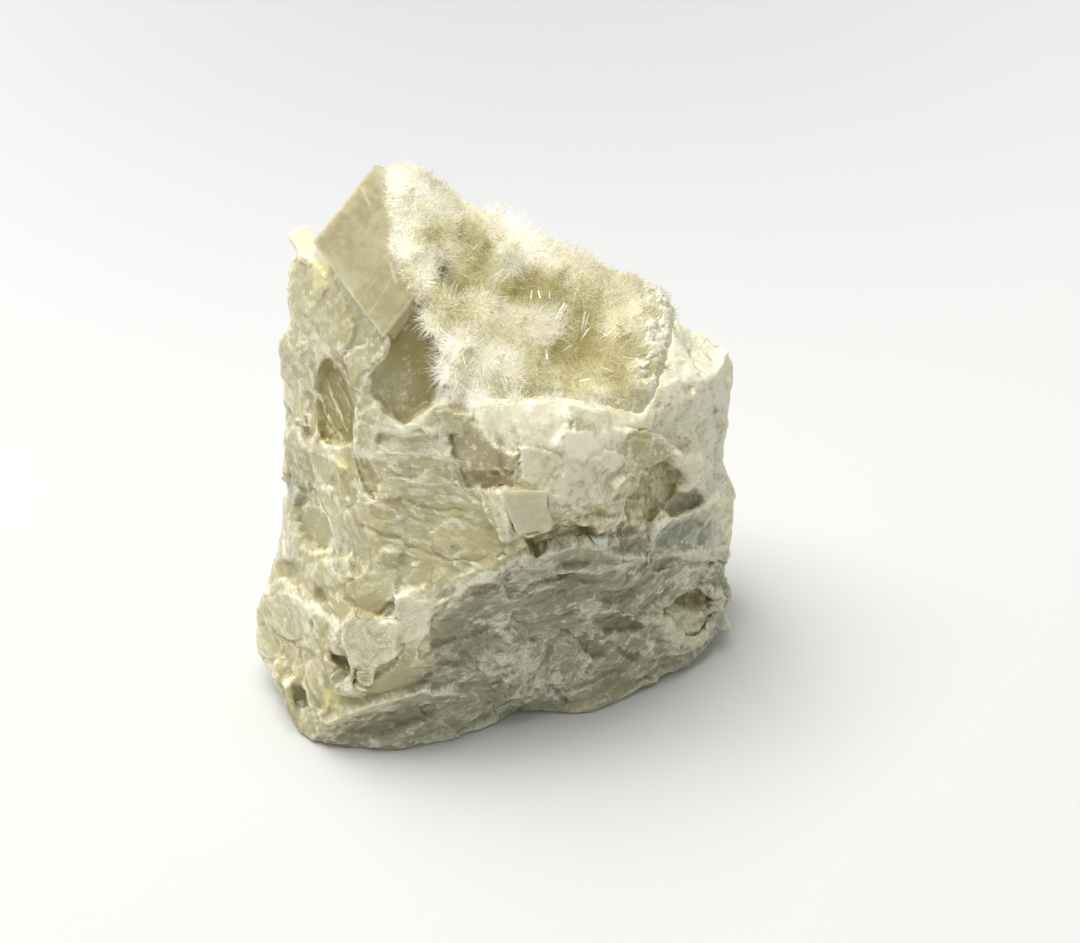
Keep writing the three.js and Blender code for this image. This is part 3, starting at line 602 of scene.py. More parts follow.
@dataclass(frozen=True)
class CalciteFinish:
    """Broken calcite, a waxy and half clear stone.

    It is made of cleavage shards that are clear or clouded, its crests are bruised white, and fine
    fibres and chips have white glints painted on them. FROST holds the weights of the layers that frost
    it, the painted glints among them, and RELIEF those of the relief that is too fine for the mesh, in
    millimetres.

    Attributes:
        clear, frosted: the whole and the bruised stone; olive, grey, honey and umber are its stains, and
            grey also paints the shade of the face below the brow.
        shaded_frost: the bruised stone, painted darker as shade where the grey lies.
        fleck_glint: the white of a glint painted on a fine fibre.
        veil_mm, cloud_mm, fibre_mm, shard_mm, chip_mm: the sizes of its patterns.
        veil_long, fibre_long, shard_long, chip_long: how many times longer they are along the fibres.
        stray_mm: how far the shards' outlines stray.
        glow, spread, reach_mm: how much light goes through the stone, its colour and how far it goes.
        bruised, glints, flecks: the values between which frost, painted glints and the fibres' painted
            glints appear.
        olive_shards: how much more olive one shard is than another.
        tone, shard_tone, chip_tone: the darkest tone, and what a shard and a chip add to it.
        rough, rough_frost, rough_glint: the roughness, and what frost and glints add to it.
        calm: how much of the fine relief a smooth face loses.
    """

    # the glint layer paints white glints into the frost
    FROST = {"veil": 0.8, "cloud": 1.2, "fibre": 0.6, "shard": 0.5, "chip": 0.36, "glint": 0.4}
    RELIEF = {"veil": 0.06, "fibre": 0.1, "chip_tilt": 0.13, "shard_tilt": 0.2}

    name: str = "cleaved_calcite"
    clear: str = "#C8BF92"
    frosted: str = "#F4EDD0"
    olive: str = "#AFA263"
    grey: str = "#83856E"
    shaded_frost: str = "#C5C6B0"
    honey: str = "#EFE3A2"
    umber: str = "#94774C"
    fleck_glint: str = "#FFFFF8"
    ior: float = 1.58
    veil_mm: float = 1.5
    veil_long: float = 3.0
    cloud_mm: float = 1.2
    fibre_mm: float = 0.22
    fibre_long: float = 7.0
    shard_mm: float = 2.2
    shard_long: float = 2.4
    chip_mm: float = 0.9
    chip_long: float = 2.0
    stray_mm: float = 0.8
    glow: float = 0.65
    spread: Triple = (1.0, 0.96, 0.86)
    reach_mm: float = 1.2
    bruised: Pair = (1.32, 2.42)
    glints: Pair = (0.88, 0.9)
    fleck_glint_range: Pair = (0.52, 0.66)
    fleck_glint_share: float = 0.65
    olive_shards: float = 0.12
    tone: float = 0.82
    shard_tone: float = 0.18
    chip_tone: float = 0.16
    smooth_tone: float = 0.96
    rough: float = 0.28
    rough_frost: float = 0.25
    rough_glint: float = -0.16
    calm: float = 0.6

    def made(self) -> Material:
        """Builds the material.

        Returns:
            The material.
        """
        tree = Tree(self.name)
        first = tree.add("Attribute", attribute_name="tint_a").outputs["Vector"]
        second = tree.add("Attribute", attribute_name="tint_b").outputs["Vector"]
        bruise, olive, grey = tree.add("SeparateXYZ", {0: first}).outputs
        honey, umber, smooth = tree.add("SeparateXYZ", {0: second}).outputs
        layers = self.layers(tree)
        # the noises lie about 0.5, so the sum lies about 1.8 where nothing is bruised
        frost = tree.summed(bruise, *((layers[name], share) for name, share in self.FROST.items()))
        frost = tree.add("MapRange", {0: frost, 1: self.bruised[0], 2: self.bruised[1]},
                         **tree.SMOOTH).outputs[0]
        olive = tree.summed(olive, (layers["shard_hue"], self.olive_shards))
        colour = tree.painted(linear(self.clear), (grey, linear(self.grey)), (olive, linear(self.olive)),
                              (umber, linear(self.umber)), (honey, linear(self.honey)))
        # the frost is painted darker as shade where the grey lies
        white = tree.painted(linear(self.frosted), (grey, linear(self.shaded_frost)),
                             (honey, linear(self.honey)))
        colour = tree.painted(colour, (frost, white))
        tone = tree.summed(self.tone, (layers["shard_tone"], self.shard_tone),
                           (layers["chip_tone"], self.chip_tone))
        tone = tree.painted(tone, (smooth, (*(self.smooth_tone,) * 3, 1.0)))
        colour = tree.add("Mix", {tree.MIX_FACTOR: 1.0, tree.MIX_A: colour, tree.MIX_B: tone},
                          data_type="RGBA", blend_type="MULTIPLY").outputs[tree.MIX_RESULT]
        # white specks on the fine fibres, painted as glints
        fleck_glint = tree.add("MapRange", {0: layers["fibre"], 1: self.fleck_glint_range[0], 2: self.fleck_glint_range[1]},
                         **tree.SMOOTH).outputs[0]
        fleck_glint = tree.summed(0.0, (fleck_glint, frost))
        fleck_glint = tree.summed(0.0, (fleck_glint, self.fleck_glint_share))
        colour = tree.painted(colour, (fleck_glint, linear(self.fleck_glint)))
        rough = tree.summed(self.rough, (frost, self.rough_frost), (layers["glint"], self.rough_glint))
        relief = tree.summed(0.0, *((layers[name], height) for name, height in self.RELIEF.items()))
        whole = tree.add("Attribute", attribute_name="whole").outputs["Fac"]
        shown = tree.summed(0.0, (whole, tree.summed(1.0, (smooth, -self.calm))))
        bump = tree.add("Bump", {"Height": relief, "Strength": shown, "Distance": MM})
        return tree.finish(tree.add("BsdfPrincipled", {
            "Base Color": colour, "Roughness": rough, "IOR": self.ior, "Normal": bump.outputs[0],
            "Subsurface Weight": self.glow, "Subsurface Radius": self.spread,
            "Subsurface Scale": self.reach_mm * MM,
        }))

    def layers(self, tree: Tree) -> dict[str, NodeSocket]:
        """Adds the patterns of the stone: its veils, clouds, fibres, shards and chips.

        Args:
            tree: the tree that they are added to.

        Returns:
            Their sockets by name.
        """
        spot = tree.add("TexCoord").outputs["Object"]
        lattice = tree.add("Attribute", attribute_name="lattice").outputs["Vector"]
        made = {}
        for name, place, size, detail, bend in (
                ("veil", lattice, stretched(self.veil_mm, self.veil_long), 6.0, 0.3),
                ("cloud", spot, stretched(self.cloud_mm * MM), 5.0, 0.4),
                ("fibre", lattice, stretched(self.fibre_mm, self.fibre_long), 3.0, 0.0)):
            scale = tuple(1 / v for v in size)
            scaled = tree.add("Mapping", {"Vector": place, "Scale": scale}).outputs[0]
            made[name] = tree.add("TexNoise", {"Vector": scaled, "Scale": 1.0,
                "Detail": detail, "Roughness": 0.62, "Distortion": bend}).outputs
        bent = tree.add("VectorMath",
                        {0: made["cloud"]["Color"], 1: stretched(self.stray_mm), 2: lattice},
                        operation="MULTIPLY_ADD").outputs[0]
        shard, shard_tilt = tree.cells(bent, stretched(self.shard_mm, self.shard_long))
        chip, chip_tilt = tree.cells(bent, stretched(self.chip_mm, self.chip_long))
        glint = tree.add("MapRange", {0: chip[1], 1: self.glints[0], 2: self.glints[1]},
                         **tree.SMOOTH).outputs[0]
        return {"shard": shard[0], "shard_tone": shard[1], "shard_hue": shard[2],
                "shard_tilt": shard_tilt, "chip": chip[0], "chip_tone": chip[2],
                "chip_tilt": chip_tilt, "glint": glint} | {k: v[0] for k, v in made.items()}


@dataclass(frozen=True)
class ClearCalciteFinish:
    """A cleavage rhomb of clouded calcite: see-through, with soft veils inside and bruised edges.

    Attributes:
        body, veil, bruise: the colours of the crystal, its veils, and its bruised edges and painted glints.
        veil_mm, mottle_mm: the sizes of a veil and of the finer mottling.
        veiled: the sums of both between which body turns to veil.
        dent_mm: how deep the mottling dents the faces.
        see_through: how much of the light goes straight through.
        glow, spread, reach_mm: how much light spreads inside it, its colour and how far it goes.
    """

    name: str = "clouded_calcite"
    body: str = "#CEC497"
    veil: str = "#E4DAB4"
    bruise: str = "#F8F4E6"
    ior: float = 1.55
    roughness: float = 0.22
    veil_mm: float = 6.0
    mottle_mm: float = 1.1
    mottle_share: float = 0.8
    veiled: Pair = (0.7, 1.15)
    dent_mm: float = 0.08
    see_through: float = 0.2
    glow: float = 0.7
    spread: Triple = (1.0, 0.95, 0.7)
    reach_mm: float = 2.0

    def made(self) -> Material:
        """Builds the material.

        Returns:
            The material.
        """
        tree = Tree(self.name)
        spot = tree.add("TexCoord").outputs["Object"]
        veils = tree.add("TexNoise", {"Vector": spot, "Scale": 1 / (self.veil_mm * MM),
                                                "Detail": 5.0, "Distortion": 0.6})
        mottle = tree.add("TexNoise", {"Vector": spot, "Scale": 1 / (self.mottle_mm * MM),
                                                 "Detail": 5.0, "Roughness": 0.6})
        share = tree.summed(veils.outputs[0], (mottle.outputs[0], self.mottle_share))
        share = tree.add("MapRange", {0: share, 1: self.veiled[0], 2: self.veiled[1]},
                         **tree.SMOOTH)
        bruise = tree.add("Attribute", attribute_name="bruise").outputs["Fac"]
        colour = tree.painted(linear(self.body), (share.outputs[0], linear(self.veil)),
                              (bruise, linear(self.bruise)))
        bump = tree.add("Bump",
                        {"Height": mottle.outputs[0], "Strength": 0.5, "Distance": self.dent_mm * MM})
        return tree.finish(tree.add("BsdfPrincipled", {
            "Base Color": colour, "Roughness": self.roughness, "IOR": self.ior,
            "Normal": bump.outputs[0], "Transmission Weight": self.see_through,
            "Subsurface Weight": self.glow, "Subsurface Radius": self.spread,
            "Subsurface Scale": self.reach_mm * MM,
        }))


@dataclass(frozen=True)
class NeedleFinish:
    """Aragonite needles: glassy and thin, pale at their tips and darker at the root, a painted shade that
    stands in for the shadows they don't cast.

    Attributes:
        by_height, by_spray, offset: how paleness grows up a needle and with its spray, and its start.
        shaft_at, tip_at: the paleness between which the root turns to shaft, and the shaft to tip.
    """

    name: str = "aragonite_needle"
    root: str = "#988D50"
    shaft: str = "#D3CA9C"
    tip: str = "#F2F0EA"
    ior: float = 1.6
    roughness: float = 0.25
    by_height: float = 0.45
    by_spray: float = 0.95
    offset: float = -0.28
    shaft_at: Pair = (0.05, 0.55)
    tip_at: Pair = (0.5, 1.0)

    def made(self) -> Material:
        """Builds the material.

        Returns:
            The material.
        """
        tree = Tree(self.name)
        height = tree.add("Attribute", attribute_name="height").outputs["Fac"]
        pale = tree.add("Attribute", attribute_name="pale").outputs["Fac"]
        lift = tree.summed(self.offset, (pale, self.by_spray), (height, self.by_height))
        colour = linear(self.root)
        for (low, high), hex_colour in ((self.shaft_at, self.shaft), (self.tip_at, self.tip)):
            share = tree.add("MapRange", {0: lift, 1: low, 2: high}, **tree.SMOOTH)
            colour = tree.painted(colour, (share.outputs[0], linear(hex_colour)))
        return tree.finish(tree.add("BsdfPrincipled", {
            "Base Color": colour, "Roughness": self.roughness, "IOR": self.ior,
        }))


@dataclass(frozen=True)
class GlassyFinish:
    """The larger aragonite prisms: smooth and half clear, so that they flash like glass."""

    name: str = "clear_aragonite"
    body: str = "#FFFEF6"
    ior: float = 1.6
    roughness: float = 0.06
    see_through: float = 0.35

    def made(self) -> Material:
        """Builds the material.

        Returns:
            The material.
        """
        tree = Tree(self.name)
        return tree.finish(tree.add("BsdfPrincipled", {
            "Base Color": linear(self.body), "Roughness": self.roughness, "IOR": self.ior,
            "Transmission Weight": self.see_through,
        }))


@dataclass(frozen=True)
class CrustFinish:
    """The needles' bed: a felt too fine to tell apart, dull and cream, turning olive as painted shade where
    its needles are dark, and sugary grains at one end.

    The felt's waves are drawn coarser than the real one's fibres, so that they show.

    Attributes:
        felt_mm, grain_mm: the sizes of the felt's waves and of a sugary grain.
        felt_share, pale_offset: how much the felt changes the paleness, and its start.
        paling: the paleness between which deep turns to pale.
        dark_grain, grain_tone: the darkest grain's tone, and what the others add to it.
        dent_mm: how deep the felt and the grains are dented.
    """

    name: str = "aragonite_bed"
    deep: str = "#ABA068"
    pale: str = "#E8E2C8"
    sugar: str = "#EFE9D2"
    roughness: float = 0.6
    felt_mm: float = 0.35
    grain_mm: float = 0.8
    felt_share: float = 0.5
    pale_offset: float = -0.25
    paling: Pair = (0.1, 0.9)
    dark_grain: float = 0.75
    grain_tone: float = 0.3
    dent_mm: float = 0.3

    def made(self) -> Material:
        """Builds the material.

        Returns:
            The material.
        """
        tree = Tree(self.name)
        spot = tree.add("TexCoord").outputs["Object"]
        pale = tree.add("Attribute", attribute_name="pale").outputs["Fac"]
        sugar = tree.add("Attribute", attribute_name="sugar").outputs["Fac"]
        felt = tree.add("TexNoise",
                        {"Vector": spot, "Scale": 1 / (self.felt_mm * MM), "Detail": 4.0}).outputs[0]
        share = tree.summed(self.pale_offset, (pale, 1.0), (felt, self.felt_share))
        share = tree.add("MapRange", {0: share, 1: self.paling[0], 2: self.paling[1]},
                         **tree.SMOOTH)
        grain, tilt = tree.cells(spot, stretched(self.grain_mm * MM))
        tone = tree.summed(self.dark_grain, (grain[0], self.grain_tone))
        inputs = {tree.MIX_FACTOR: 1.0, tree.MIX_A: linear(self.sugar), tree.MIX_B: tone}
        white = tree.add("Mix", inputs, data_type="RGBA", blend_type="MULTIPLY")
        colour = tree.painted(linear(self.deep), (share.outputs[0], linear(self.pale)),
                              (sugar, white.outputs[tree.MIX_RESULT]))
        bump = tree.add("Bump", {"Height": tree.painted(felt, (sugar, tilt)), "Strength": 0.6,
                                           "Distance": self.dent_mm * MM})
        return tree.finish(tree.add("BsdfPrincipled", {
            "Base Color": colour, "Roughness": self.roughness, "Normal": bump.outputs[0],
        }))


@dataclass(frozen=True)
class PaperFinish:
    """Matt white paper under the specimen, which dulls away from the light.

    Attributes:
        painted_shade_at, painted_shade_reach: where the painted shade is darkest and how far it reaches, in
            metres.
    """

    name: str = "white_paper"
    near: str = "#D5D5D1"
    far: str = "#BCBDBF"
    roughness: float = 0.9
    sheen: float = 0.2
    painted_shade_at: Triple = (-0.01, 0.27, 0.0)
    painted_shade_reach: float = 0.26

    def made(self) -> Material:
        """Builds the material.

        Returns:
            The material.
        """
        tree = Tree(self.name)
        spot = tree.add("TexCoord").outputs["Object"]
        away = tree.add("VectorMath", {0: spot, 1: self.painted_shade_at}, operation="DISTANCE")
        share = tree.add("MapRange", {0: away.outputs["Value"], 1: self.painted_shade_reach, 2: 0.0},
                         **tree.SMOOTH)
        # the paper turns darker around a spot behind the specimen: painted shade
        colour = tree.painted(linear(self.near), (share.outputs[0], linear(self.far)))
        return tree.finish(tree.add("BsdfPrincipled", {
            "Base Color": colour, "Roughness": self.roughness, "Specular IOR Level": self.sheen,
        }))


# -------- how the calcite broke
class Tint(Enum):
    """What a place of the rock looks like; each is a column of the tint table."""

    FROST = 0
    OLIVE = 1
    # grey is partly a stain and partly the painted shade of the face below the brow
    GREY = 2
    HONEY = 3
    UMBER = 4
    SMOOTH = 5


@dataclass(frozen=True)
class Habit:
    """How a patch of the calcite broke, in millimetres.

    Attributes:
        block: a cleavage block along, across and through.
        step: the height of the steps between blocks.
        grain: the height of the finest relief.
        frost: how white it is bruised.
        short: how much shorter than a fibre its streaks are.
    """

    block: Triple
    step: float
    grain: float
    frost: float
    short: float


class Break(Enum):
    """The kinds of break."""

    FIBROUS = Habit((7.0, 3.2, 2.6), 0.16, 0.055, -0.02, 1.0)
    BLOCKY = Habit((5.2, 4.4, 4.0), 0.36, 0.04, -0.04, 2.6)
    SUGARY = Habit((2.8, 2.3, 2.0), 0.3, 0.06, 0.12, 3.4)
    LAYERED = Habit((8.0, 3.2, 2.6), 0.38, 0.05, -0.06, 1.3)
    SMOOTH = Habit((8.0, 6.0, 5.0), 0.08, 0.02, -0.1, 1.8)


@dataclass(frozen=True)
class Domain:
    """One grown-together crystal of the rock, with its own cleavage directions.

    Attributes:
        kind: how it broke.
        at: where it is seen, across and up.
        fibres_deg: the direction of its fibres, as seen.
    """

    kind: Break
    at: Pair
    fibres_deg: float


DOMAINS = (
    Domain(Break.SMOOTH, (-20.8, 16.4), 62), Domain(Break.SMOOTH, (-21.5, 11), 50),
    Domain(Break.BLOCKY, (-36.9, 32.2), 80), Domain(Break.SMOOTH, (-36.2, 26.4), 75),
    Domain(Break.BLOCKY, (-38.2, 18.7), 70), Domain(Break.SMOOTH, (-26.9, 17.2), 45),
    Domain(Break.FIBROUS, (-32.3, 11), -63), Domain(Break.LAYERED, (-37.2, 0.2), -55),
    Domain(Break.LAYERED, (-33.1, -1.3), -50), Domain(Break.FIBROUS, (-21.5, 2.5), -7),
    Domain(Break.FIBROUS, (-17.7, -4.4), -12), Domain(Break.FIBROUS, (-21.5, -10.5), -22),
    Domain(Break.FIBROUS, (-11.5, -12.1), -20), Domain(Break.FIBROUS, (-30, -11.3), -60),
    Domain(Break.BLOCKY, (-9.2, 2.5), 5), Domain(Break.BLOCKY, (-13.1, 7.9), 75),
    Domain(Break.SMOOTH, (-35.4, -9), 60), Domain(Break.FIBROUS, (-39.2, -16.7), -35),
    Domain(Break.FIBROUS, (-32.3, -18.2), -38), Domain(Break.FIBROUS, (-23.1, -19.8), 25),
    Domain(Break.FIBROUS, (-16.9, -18.2), 50), Domain(Break.FIBROUS, (-40.8, -22.8), -30),
    Domain(Break.LAYERED, (-35.4, -27.5), -45), Domain(Break.BLOCKY, (-26.2, -25.9), 65),
    Domain(Break.BLOCKY, (-38.2, -33.6), -60), Domain(Break.LAYERED, (-24.6, -35.9), 12),
    Domain(Break.LAYERED, (-21.5, -40.5), 10), Domain(Break.LAYERED, (-10.8, -22.8), 14),
    Domain(Break.LAYERED, (-13.8, -33.6), 16), Domain(Break.SUGARY, (-9.2, -27.5), 18),
    Domain(Break.LAYERED, (3.1, -19.8), 10), Domain(Break.LAYERED, (3.1, -15.2), 6),
    Domain(Break.SUGARY, (3.1, -29), -50), Domain(Break.LAYERED, (12.3, -27.5), 18),
    Domain(Break.LAYERED, (18.5, -16.7), 14), Domain(Break.SMOOTH, (20.8, -10.5), 20),
    Domain(Break.SUGARY, (23.1, -22.8), 40), Domain(Break.LAYERED, (9.2, -35.2), 15),
    Domain(Break.BLOCKY, (-4.6, 4.8), 100), Domain(Break.BLOCKY, (0.8, 4.8), 95),
    Domain(Break.BLOCKY, (7.7, 3.3), 110), Domain(Break.BLOCKY, (13.8, 1.8), 60),
    Domain(Break.SUGARY, (21.5, 11), 35), Domain(Break.SUGARY, (24.6, 3.3), 100),
    Domain(Break.BLOCKY, (19.2, 20.2), 140), Domain(Break.SUGARY, (26.9, 15.6), 120),
    Domain(Break.BLOCKY, (16.9, 26.4), 145), Domain(Break.SUGARY, (-18.5, 44.1), 140),
)


class Form(Enum):
    """Whether a touch lies along a line, fills an outline, or cleaves the rock flat inside it."""

    LINE = 0
    PATCH = 1
    FACE = 2


@dataclass(frozen=True)
class Touch:
    """One feature of the rock's front.

    Attributes:
        form: a line, a patch or a flat face.
        corners: its points, across and up.
        width: half the width of a line, or the soft border of an outline, in millimetres.
        rise: how far it stands out, in millimetres.
        tints: what it adds of each tint.
    """

    # a line fades, breaks and strays where the rock is ragged
    EVEN, BROKEN, FAINTEST, STRAY, SOFT = 0.75, 2.5, 0.1, 0.4, 1.15

    form: Form
    corners: tuple[Pair, ...]
    width: float
    rise: float
    tints: dict[Tint, float]

    def weight(self, places: Array, ragged: Array | float = 0.0) -> Array:
        """How much of the touch each place takes, from 0 to 1.

        Args:
            places: across and up, in millimetres.
            ragged: how far the outline strays at each place, in millimetres.

        Returns:
            One weight a place.
        """
        corners = np.array(self.corners)
        closed = self.form is not Form.LINE
        starts = corners if closed else corners[:-1]
        finishes = np.roll(corners, -1, axis=0) if closed else corners[1:]
        nearest = np.full(len(places), 1e9)
        inside = np.zeros(len(places), bool)
        for start, finish in zip(starts, finishes):
            step = finish - start
            share = np.clip((places - start) @ step / (step @ step), 0, 1)
            nearest = np.minimum(nearest, np.linalg.norm(places - start - share[:, None] * step, axis=1))
            if closed and abs(step[1]) > 1e-9:
                spans = (places[:, 1] < start[1]) != (places[:, 1] < finish[1])
                crossing = start[0] + (places[:, 1] - start[1]) / step[1] * step[0]
                inside ^= spans & (places[:, 0] < crossing)
        if closed:
            depth = np.where(inside, nearest, -nearest) + ragged
            return eased(depth, -0.5 * self.width, 0.5 * self.width)
        ragged = np.asarray(ragged)
        faded = np.clip(self.EVEN + self.BROKEN * ragged, self.FAINTEST, 1)
        return faded * (1 - eased(nearest + self.STRAY * self.width * ragged, 0, self.SOFT * self.width))


FACE_BORDER = 0.35


def line(corners: tuple, width: float, rise: float = 0.0, **tints: float) -> Touch:
    """A touch along a line; its tints are given by name."""
    return Touch(Form.LINE, corners, width, rise, {Tint[k.upper()]: v for k, v in tints.items()})


def patch(corners: tuple, width: float, rise: float = 0.0, **tints: float) -> Touch:
    """A touch over an outline; its tints are given by name."""
    return Touch(Form.PATCH, corners, width, rise, {Tint[k.upper()]: v for k, v in tints.items()})


def face(corners: tuple, proud: float, **tints: float) -> Touch:
    """A flat cleavage face, proud of the surface; its tints are given by name."""
    return Touch(Form.FACE, corners, FACE_BORDER, proud, {Tint[k.upper()]: v for k, v in tints.items()})


